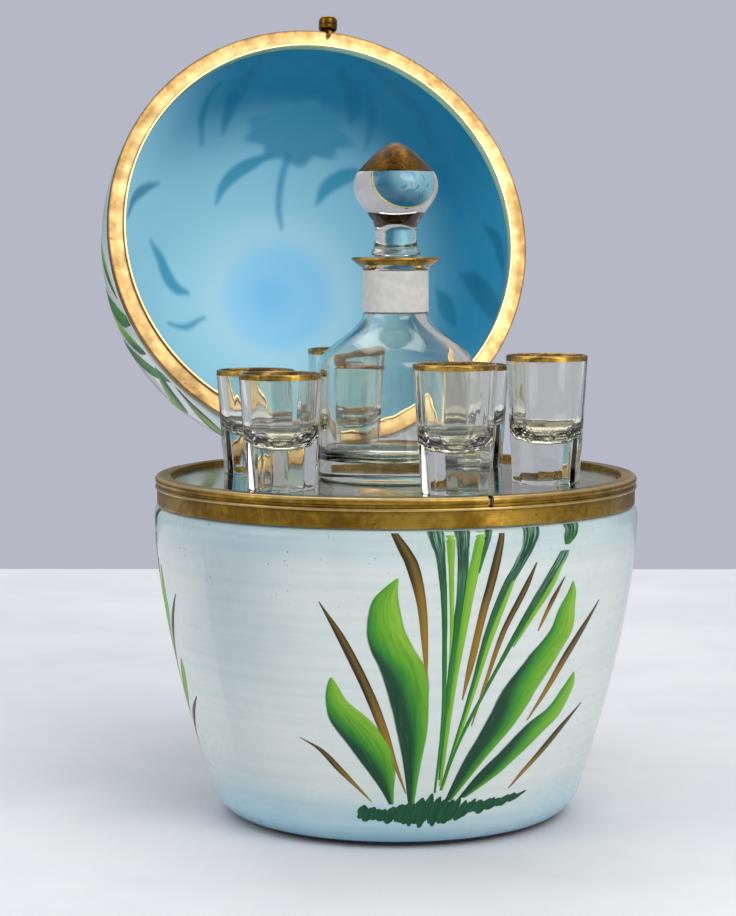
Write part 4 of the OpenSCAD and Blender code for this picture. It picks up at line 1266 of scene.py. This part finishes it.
    def _petals(self, painter: Painter, enamel: Builder) -> None:
        """The flower outside: nine petals round its heart, each a stroke from its tip to the middle."""
        mid_a, mid_z = 9.0, 93.5
        for k in range(9):
            way = math.radians(k * 40 + 12)
            reach = 1.0 + 0.08 * math.cos(k * 2.4)
            tip = (mid_a + 17.5 * reach * math.cos(way), mid_z + 18 * reach * math.sin(way))
            mid = (mid_a + 10.5 * math.cos(way), mid_z + 11 * math.sin(way))
            petal = Stroke(Brush.PETAL, ((tip[0], tip[1], 3), (mid[0], mid[1], 14), (mid_a, mid_z, 3)), 0.3)
            painter.lay(enamel, petal, 0.0, 22 + k, base=self.low)
        heart = Stroke(Brush.HEART, ((mid_a, mid_z + 4, 3), (mid_a, mid_z, 8), (mid_a, mid_z - 4, 3)), 0.5)
        painter.lay(enamel, heart, 0.0, 33, base=self.low)

    def _dome(self, outer: Array, inner: Array) -> None:
        """The glass itself: an outer and an inner skin that meet at the neck, in one closed mesh."""
        dome = Builder("dome_glass")
        degrees = around(360)
        lathe(dome, outer, degrees, place=self.hinge.opened, paint=self.paint_out,
              dotted=lambda p, a: 0.5 * smooth(self.low + 60, self.low + 10, p[..., 2]),
              inside=lambda p, a: np.zeros(p.shape[:2]))
        lathe(dome, inner, degrees, place=self.hinge.opened, paint=self.paint_in_with_painted_light,
              dotted=lambda p, a: np.zeros(p.shape[:2]), inside=lambda p, a: np.ones(p.shape[:2]))
        piece = dome.make(self.palette.dome)
        self._weld(piece)
        dressed(piece, "lid", Slot.OPALINE, "lid_dome")

    @staticmethod
    def _weld(piece: bpy.types.Object) -> None:
        """Joins points of a piece that fall together."""
        form = bmesh.new()
        form.from_mesh(piece.data)
        bmesh.ops.remove_doubles(form, verts=form.verts, dist=1e-7)
        form.to_mesh(piece.data)
        form.free()

    def _rings(self) -> None:
        """The lid's brass ring and the bright seat ring inside it."""
        inner = self.outer - self.face - 0.8
        top = self.low + self.ring_h
        lining_top = top - 0.7
        band = np.vstack([
            [[inner, lining_top], [inner, self.low + 0.2], [inner + 0.2, self.low]],
            np.stack([np.linspace(inner + 0.8, self.outer - 0.8, 12), np.full(12, self.low)], 1),
            arc(self.outer - 0.3, self.low + 0.3, 0.3, -90, 0, 4),
            arc(self.outer - 0.5, top - 0.5, 0.5, 0, 180, 8),
            [[self.outer - 1, self.low + self.sheet], [inner + 1, self.low + self.sheet], [inner + 1, lining_top]]])
        ring = Builder("lid_ring")
        seam = self.turn - 0.6
        extra = [seam - 0.16, seam - 0.08, seam, seam + 0.08, seam + 0.16]
        lathe(ring, band, around(480, extra), closed=True, place=self.hinge.opened, edge=self._ring_highlight,
              groove=lambda p, a: self._ring_groove(p, a, seam))
        dressed(ring.make(self.palette.lid_ring, 30), "lid", Slot.RING_BRASS, "lid_rim_band")
        seat = Builder("seat_ring")
        low = self.joint_z - self.drop
        thick = 1.1
        section = rounded([(inner - thick, low, 0.35), (inner, low, 0.3), (inner, lining_top, 0.1),
                           (inner - thick, lining_top, 0.2)], 4)
        # The seat ring's lower edge gets a painted highlight.
        lathe(seat, section, around(480), closed=True, place=self.hinge.opened,
              edge=lambda p, a: smooth(low + 0.8, low, p[..., 2]), groove=lambda p, a: np.zeros(p.shape[:2]))
        dressed(seat.make(self.palette.bright, 30), "lid", Slot.BRIGHT_BRASS, "lid_seat_ring")

    def _ring_highlight(self, points: Array, degrees: Array) -> Array:
        """Where a highlight is painted on the lid's ring: its inner part."""
        r = np.hypot(points[..., 0], points[..., 1])
        return 0.6 * smooth(self.outer - 2.5, self.outer - 5.5, r)

    def _ring_groove(self, points: Array, degrees: Array, seam: float) -> Array:
        """Where the lid's ring is dark: painted shade on its outer edge, the seam by the clasp, and the line by the
        seat ring.
        """
        r = np.hypot(points[..., 0], points[..., 1])
        rim = 0.6 * smooth(self.outer - 1.4, self.outer - 0.2, r)
        inner = 0.5 * smooth(self.outer - self.face - 0.4, self.outer - self.face - 0.75, r)
        line = smooth(0.1, 0.02, np.abs(degrees - seam)) * (r > self.outer - self.face)
        return np.clip(rim + inner + 0.7 * line, 0, 1)

    def _knob(self) -> None:
        """The turned knob: a barrel on a short neck whose axis runs out from the middle of the ring."""
        r, long, neck = self.knob_r, self.knob_l, 1.6
        section = np.vstack([[[0, -0.6], [r - 1.7, -0.6], [r - 1.7, neck]],
                             arc(r - 1.4, neck + 1.4, 1.4, -90, 0, 6),
                             [[r, neck + 2.2], [r - 0.12, neck + 2.4], [r, neck + 2.6]],
                             arc(r - 2.2, long - 2.2, 2.2, 0, 90, 8), [[0, long]]])
        knob = Builder("clasp_knob_turned")
        a = math.radians(self.turn)
        out = np.array([math.sin(a), -math.cos(a), 0])
        side = np.array([math.cos(a), math.sin(a), 0])
        base = out * (self.outer - 0.1) + np.array([0, 0, self.low + self.ring_h / 2])

        def place(points: Array) -> Array:
            """Lays the turned form along the knob's axis, then opens it with the lid."""
            moved = base + points[..., :1] * side + points[..., 1:2] * np.array([0, 0, 1.0]) + points[..., 2:] * out
            return self.hinge.opened(moved)

        # The knob's end gets a painted highlight, and its incised line and the foot of its neck painted shade.
        lathe(knob, section, around(64), place=place, edge=lambda p, a: smooth(long - 1.6, long - 0.3, p[..., 2]),
              groove=lambda p, a: smooth(0.5, 0.1, np.abs(p[..., 2] - neck - 2.4)) * 0.5 + smooth(neck + 0.4, neck, p[..., 2]))
        piece = knob.make(self.palette.knob, 35)
        self._outwards(piece)
        dressed(piece, "lid", Slot.RING_BRASS, "clasp_knob")

    @staticmethod
    def _outwards(piece: bpy.types.Object) -> None:
        """Makes every face of a closed piece look outwards."""
        form = bmesh.new()
        form.from_mesh(piece.data)
        bmesh.ops.recalc_face_normals(form, faces=form.faces)
        form.to_mesh(piece.data)
        form.free()


@dataclass
class Decanter:
    """The clear decanter, its ground neck, its gilt lip, and the stopper with its gilt cap."""

    palette: Palette
    stand: float = corner_of("decanter", False).z
    body_r: float = corner_of("decanter").x
    high: float = corner_of("decanter").z - corner_of("decanter", False).z
    body_h: float = 51.5
    neck_z: float = 75.5
    neck_r: float = 14.9
    lip_r: float = 20.2
    lip_h: float = 5.2
    lip_edge: float = 1.4
    wall: float = 3.6
    floor: float = 8.5
    plug_r: float = 9.8
    plug_l: float = 20.0
    fit: float = 0.3
    ball_r: float = 19.3
    ball_z: float = 133.1
    ball_drop: float = 20.7
    ball_rise: float = 14.2
    waist_r: float = 9.4
    cap_over: float = 6.2
    tip: float = corner_of("stopper").z - corner_of("decanter", False).z
    bulge: float = 0.65

    def radius(self, z: Array) -> Array:
        """The outer radius: the body's, then a soft step over the shoulder to the neck's."""
        t = np.clip((z - self.body_h) / (self.neck_z - self.body_h), 0, 1)
        return self.neck_r + (self.body_r - self.neck_r) * (1 - t * t * (3 - 2 * t))

    def lip(self, start: float, end: float) -> Array:
        """The lip's outside, from the part start of its flare's height over its round edge to the angle end."""
        t = np.linspace(start, 1, 8)[:, None]
        low, top = np.array([self.neck_r + 0.6, self.high - self.lip_h]), np.array([self.lip_r - 0.4, self.high - self.lip_edge])
        half = self.lip_edge / 2
        return np.vstack([low + (top - low) * np.hstack([t ** 1.15, t]),
                          arc(self.lip_r - half, self.high - half, half, -50, end, 10)])

    def profile(self) -> Array:
        """The decanter's section, from the middle of its base up the outside and down the cavity."""
        lip_z = self.high - self.lip_h
        end_r = self.plug_r - 0.8
        z = np.linspace(self.body_h, self.neck_z, 40)
        outer = np.stack([self.radius(z), z], 1)
        z = np.linspace(self.neck_z - 1, self.body_h - 1, 40)
        cavity = np.stack([np.clip(self.radius(z + 1) - self.wall, end_r + self.fit, self.body_r - self.wall), z], 1)
        return np.vstack([
            [[0, 0.5], [self.body_r - 12, 0.5], [self.body_r - 9, 0]],
            arc(self.body_r - 1.6, 1.6, 1.6, -90, 0, 8), outer,
            [[self.neck_r, lip_z - 3], [self.neck_r + 0.1, lip_z - 1]], self.lip(0.0, 90),
            [[self.plug_r + self.fit + 0.8, self.high], [self.plug_r + self.fit, self.high - 0.6],
             [end_r + self.fit, self.high - self.plug_l]],
            cavity, arc(self.body_r - self.wall - 7, self.floor + 7, 7, 0, -80, 10), [[0, self.floor - 0.6]]])

    def ball(self) -> Array:
        """The stopper's ball: a soft step from the waist out to the widest place, and a flat half ellipse above."""
        t = np.linspace(1, 0, 40)
        step = t ** 1.1
        below = np.stack([self.waist_r + (self.ball_r - self.waist_r) * (1 - step * step * (3 - 2 * step)),
                          self.ball_z - self.ball_drop * t], 1)
        a = np.linspace(0, math.asin(self.cap_over / self.ball_rise), 14)[1:]
        above = np.stack([self.ball_r * np.cos(a), self.ball_z + self.ball_rise * np.sin(a)], 1)
        return np.vstack([below, above])

    def cap(self, over: float, steps: int = 24) -> Array:
        """The cap's section: its radius is the cap's times a power of what is left of its height."""
        t = np.linspace(0, 1, steps) ** 1.0
        low = self.ball_z + self.cap_over
        cap_r = self.ball_r * math.cos(math.asin(self.cap_over / self.ball_rise)) - 0.3
        return np.stack([(cap_r + over) * (1 - t) ** self.bulge, low + (self.tip + over - low) * t], 1)

    def stopper(self) -> Array:
        """The stopper's section: plug, stem, ball and cone."""
        plug_z, end_r = self.high - self.plug_l, self.plug_r - 0.8
        stem = spline([(self.plug_r + 0.1, self.high + 0.7), (self.plug_r + 1.3, self.high + 1.4),
                       (self.plug_r + 1.2, self.high + 2.6), (self.plug_r + 0.2, self.high + 5),
                       (self.waist_r + 0.1, self.high + 8), (self.waist_r, self.high + 11)], 26)
        return np.vstack([[[0, plug_z], [end_r - 0.6, plug_z], [end_r, plug_z + 0.6], [self.plug_r, self.high]],
                          stem, self.ball(), self.cap(0)])

    def _up(self, points: Array) -> Array:
        """Stands a form that is measured from the tray on the tray."""
        return points + np.array([0, 0, self.stand])

    def build(self) -> None:
        """Builds the decanter and the stopper with their gilding."""
        plain = dict(place=self._up, edge=lambda p, a: np.zeros(p.shape[:2]), groove=lambda p, a: np.zeros(p.shape[:2]))
        glass = Builder("decanter_glass")
        lathe(glass, self.profile(), around(160), **plain)
        dressed(glass.make(self.palette.decanter, 35), "decanter", Slot.GLASS, "decanter")
        lip = Builder("decanter_lip_gilding")
        lathe(lip, skin(self.lip(0.5, 86), 0.06, 0.12), around(128), closed=True, **plain)
        dressed(lip.make(self.palette.gilt), "decanter", Slot.BRIGHT_BRASS)
        ground = Builder("decanter_ground_neck")
        z = np.linspace(self.neck_z + 0.5, self.high - self.lip_h - 0.6, 12)
        lathe(ground, skin(np.stack([self.radius(z), z], 1), 0.13, 0.02), around(96), closed=True, **plain)
        dressed(ground.make(self.palette.ground), "decanter", Slot.GLASS)
        stopper = Builder("stopper_glass")
        lathe(stopper, self.stopper(), around(144), **plain)
        dressed(stopper.make(self.palette.decanter, 35), "stopper", Slot.GLASS, "stopper")
        cap = Builder("stopper_gilt_cap")
        section = np.vstack([self.cap(0.07), self.cap(-0.25)[::-1]])
        section[len(section) // 2 - 1, 0] = section[len(section) // 2, 0] = 0
        half = len(section) // 2
        lathe(cap, section[:half], around(128), **plain)
        lathe(cap, section[half:], around(128), **plain)
        rim = np.stack([section[-1], section[0]])
        lathe(cap, rim, around(128), **plain)
        piece = cap.make(self.palette.cap_gilt)
        Lid._weld(piece)
        dressed(piece, "stopper", Slot.BRIGHT_BRASS)


@dataclass
class SmallGlass:
    """One glass of the set: a heavy foot, flat panels cut round it, a gilt rim."""

    palette: Palette
    node: str
    turn: float
    far: float = 70.4
    rim_r: float = 18.3
    foot_r: float = 15.2
    wall: float = 2.0
    floor: float = 17.5
    full: float = 55.6
    hollow: float = 13.0
    panels: int = 10
    gilt_h: float = 2.5

    @property
    def tall(self) -> float:
        """The glass's height."""
        return corner_of(self.node).z - corner_of(self.node, False).z

    def _place(self, points: Array) -> Array:
        """Stands the glass in its place on the tray."""
        a = math.radians(self.turn)
        x, y = points[..., 0], points[..., 1] - self.far
        return np.stack([x * math.cos(a) - y * math.sin(a), x * math.sin(a) + y * math.cos(a),
                         points[..., 2] + corner_of(self.node, False).z], -1)

    def _panels(self, points: Array, degrees: Array) -> Array:
        """Cuts the panels: the outside goes in to each panel's plane, with the arrises a little softened."""
        z = points[..., 2]
        r = np.hypot(points[..., 0], points[..., 1])
        step = 360 / self.panels
        off = np.radians((degrees + step / 2) % step - step / 2)[None, :]
        flat = self.foot_r * math.cos(math.pi / self.panels)
        plane = (flat + (self.rim_r - flat) * z / self.tall) / np.cos(off)
        soft = 0.12
        cut = -soft * np.logaddexp(-plane / soft, -r / soft)
        outer = self._is_outer(z, r) & (r > 1)
        scale = np.where(outer, np.minimum(cut, r) / np.maximum(r, 1e-6), 1)
        return points * np.stack([scale, scale, np.ones_like(scale)], -1)

    def _is_outer(self, z: Array, r: Array) -> Array:
        """Whether a point of the turned form is on the outside wall."""
        side = self.foot_r + (self.rim_r - self.foot_r) * z / self.tall
        return r > side - 1.0

    def profile(self) -> Array:
        """The glass's section, from the middle of the foot up the outside and down the cavity."""
        cavity_r = self.foot_r + (self.rim_r - self.foot_r) * (self.floor + self.hollow) / self.full - self.wall
        z = np.linspace(1.2, self.tall - 0.9, 40)
        side = np.stack([self.foot_r + (self.rim_r - self.foot_r) * z / self.tall, z], 1)
        return np.vstack([
            [[0, 0.4], [self.foot_r - 4, 0.4], [self.foot_r - 2.4, 0], [self.foot_r - 0.8, 0]],
            arc(self.foot_r - 0.8, 0.8, 0.8, -70, -10, 4), side,
            arc(self.rim_r - self.wall / 2, self.tall - self.wall / 2, self.wall / 2, 0, 180, 10),
            arc(cavity_r - self.hollow, self.floor + self.hollow, self.hollow, 0, -84, 16), [[0, self.floor - 0.3]]])

    def build(self) -> None:
        """Builds the glass and its gilt rim."""
        zero = lambda p, a: np.zeros(p.shape[:2])
        glass = Builder(self.node + "_cut")
        lathe(glass, self.profile(), around(self.panels * 18), place=self._place, reshape=self._panels, edge=zero, groove=zero)
        dressed(glass.make(self.palette.glass, 50), self.node, Slot.GLASS, self.node)
        z = np.linspace(self.tall - self.gilt_h, self.tall - 1, 8)
        side = np.stack([self.foot_r + (self.rim_r - self.foot_r) * z / self.tall, z], 1)
        rim = arc(self.rim_r - self.wall / 2, self.tall - self.wall / 2, self.wall / 2, 0, 150, 8)
        band = Builder(self.node + "_gilding")
        section = skin(np.vstack([side, rim[1:]]), 0.06, 0.12)
        lathe(band, section, around(120), closed=True, place=self._place, edge=zero, groove=zero)
        dressed(band.make(self.palette.gilt), self.node, Slot.BRIGHT_BRASS)


@dataclass
class Hardware:
    """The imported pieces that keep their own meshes, each with its finish."""

    palette: Palette

    def build(self) -> None:
        """Gives each kept piece its material."""
        finishes = {
            self.palette.plaster: ("base_rim_plaster", "lid_rim_plaster"),
            self.palette.board: ("plate_backing",),
            self.palette.hinge: ("tray_collar", "hinge_base_leaf", "hinge_lid_leaf"),
            self.palette.dark: ("hinge_base_rivets", "hinge_lid_rivets", "hinge_pin", "clasp_tongue"),
        }
        for material, names in finishes.items():
            for name in names:
                mesh = frame["nodes"][name].data
                mesh.materials.clear()
                mesh.materials.append(material)
                log.info("%s keeps its mesh, in %s", name, material.name)


# The set for the picture

@dataclass
class Studio:
    """The floor, the light, the plain backdrop and the camera of the photograph."""

    azimuth: float = -15.25
    elevation: float = 5.61
    distance: float = 1100.0
    focal_px: float = 2396.0
    long_px: float = 916.0
    middle: tuple[float, float] = (368.0, 458.0)
    centre_px: tuple[float, float] = (395.7, 472.5)
    table_back: float = 800.0
    wall: str = "#b6b8c6"

    def _axes(self) -> tuple[Vector, Vector, Vector, Vector]:
        """The camera's place and its forward, right and up directions, aimed so that the ring's centre falls on its
        pixel: from straight at it, a turn about up and one about right."""
        centre = Vector((0, 0, corner_of("base_rim_band").z)) * MM
        a, e = math.radians(self.azimuth), math.radians(self.elevation)
        back = Vector((math.sin(a) * math.cos(e), -math.cos(a) * math.cos(e), math.sin(e)))
        forward, right = -back, Vector((math.cos(a), math.sin(a), 0))
        up = right.cross(forward)
        yaw = math.atan((self.centre_px[0] - self.middle[0]) / self.focal_px)
        pitch = math.atan((self.centre_px[1] - self.middle[1]) / self.focal_px)
        sway = Quaternion(up, yaw)
        forward.rotate(sway)
        right.rotate(sway)
        nod = Quaternion(right, pitch)
        forward.rotate(nod)
        up.rotate(nod)
        return centre + back * self.distance * MM, forward, right, up

    def camera(self) -> None:
        """Makes the photograph's camera."""
        place, forward, right, up = self._axes()
        data = bpy.data.cameras.new("photo_camera")
        data.sensor_width = 36.0
        data.lens = self.focal_px / self.long_px * 36.0
        data.clip_start, data.clip_end = 0.01, 100.0
        camera = bpy.data.objects.new("photo_camera", data)
        camera.matrix_world = Matrix.Translation(place) @ Matrix((right, up, -forward)).transposed().to_4x4()
        bpy.context.scene.collection.objects.link(camera)
        bpy.context.scene.camera = camera

    def floor(self) -> None:
        """The pale table: a flat sheet that ends straight behind the casket, with a faint woven bump."""
        material, kit, shader = blank("table cloth")
        where = kit.add("TexCoord").outputs["Object"]
        soft = kit.noise(where, 9.0, 3.0)
        kit.put(shader.inputs["Base Color"], kit.mix(kit.spread(soft, 0.3, 0.7), rgb("#e4e7ec"), rgb("#dcdfe6")))
        shader.inputs["Roughness"].default_value = 0.9
        bump = kit.add("Bump", Strength=0.2, Distance=0.001, Height=kit.noise(where, 700.0))
        kit.put(shader.inputs["Normal"], bump.outputs[0])
        a = math.radians(self.azimuth)
        ahead, side = np.array([-math.sin(a), math.cos(a), 0]), np.array([math.cos(a), math.sin(a), 0])
        reach, wide = np.array([-6000.0, self.table_back]), np.array([-6000.0, 6000.0])
        points = reach[:, None, None] * ahead + wide[None, :, None] * side
        sheet = Builder("floor_sheet")
        sheet.grid(points, round_cols=False)
        piece = sheet.make(material)

    def world(self) -> None:
        """The room: the backdrop's plain colour to the eye and through glass, soft daylight to everything else."""
        world = bpy.data.worlds.new("room")
        bpy.context.scene.world = world
        world.use_nodes = True
        kit = Kit(world.node_tree)
        world.node_tree.nodes.clear()
        out = kit.add("OutputWorld")
        up = kit.add("SeparateXYZ", Vector=kit.add("TexCoord").outputs["Generated"]).outputs["Z"]
        sky = kit.mix(kit.spread(up, -0.15, 0.75), rgb("#8f8f92"), rgb("#f5f4f4"))
        light = kit.add("Background", Color=sky, Strength=0.78)
        wall = kit.add("Background", Color=rgb(self.wall), Strength=1.0)
        path = kit.add("LightPath")
        seen = kit.math("MAXIMUM", path.outputs["Is Camera Ray"], path.outputs["Is Transmission Ray"])
        both = kit.add("MixShader")
        kit.put(both.inputs[0], seen)
        kit.put(both.inputs[1], light.outputs[0])
        kit.put(both.inputs[2], wall.outputs[0])
        kit.put(out.inputs["Surface"], both.outputs[0])

    def lamp(self, name: str, azimuth: float, elevation: float, away: float, size: tuple[float, float], watts: float,
             colour: str = "#ffffff") -> None:
        """Adds a soft lamp.

        Args:
            name: the lamp's name.
            azimuth: degrees round from the front towards +X.
            elevation: degrees above the horizon.
            away: distance from the casket, in metres.
            size: its width and height, in metres.
            watts: its power.
            colour: its colour.
        """
        data = bpy.data.lights.new(name, "AREA")
        data.shape = "RECTANGLE"
        data.size, data.size_y = size
        data.energy = watts
        data.color = rgb(colour)[:3]
        lamp = bpy.data.objects.new(name, data)
        a, e = math.radians(azimuth), math.radians(elevation)
        towards = Vector((math.sin(a) * math.cos(e), -math.cos(a) * math.cos(e), math.sin(e)))
        lamp.location = Vector((0, 0, 0.18)) + towards * away
        lamp.rotation_mode = "QUATERNION"
        lamp.rotation_quaternion = towards.to_track_quat("Z", "Y")
        bpy.context.scene.collection.objects.link(lamp)

    def build(self) -> None:
        """Builds the set."""
        self.camera()
        self.floor()
        self.world()
        self.lamp("window", 27, 16.5, 0.99, (0.42, 0.9), 1.9, "#fffaf2")
        self.lamp("high_window", 20, 38, 2.3, (1.3, 1.2), 13, "#fffaf2")
        self.lamp("left_fill", -80, 22, 2.1, (1.0, 1.4), 8, "#fbfbff")
        self.lamp("ceiling", 170, 66, 1.9, (1.6, 1.2), 12)
        view = bpy.context.scene.view_settings
        view.view_transform = "Standard"


GLASSES = (("glass_front", 0.0), ("glass_front_right", 53.0), ("glass_back_right", 127.7), ("glass_back", 179.0),
           ("glass_back_left", 227.5), ("glass_front_left", 293.0))
CLASP_TURN = 6.0


def main() -> None:
    """Builds every sub-assembly in order."""
    logging.basicConfig(level=logging.INFO, format="%(name)s: %(message)s")
    Studio().build()
    palette = Palette()
    hinge = Hinge()
    Bowl(palette).build()
    MouthRing(palette).build()
    Lid(palette, hinge).build()
    Decanter(palette).build()
    for node, place in GLASSES:
        SmallGlass(palette, node, CLASP_TURN + place).build()
    Hardware(palette).build()


if __name__ == "__main__":
    main()
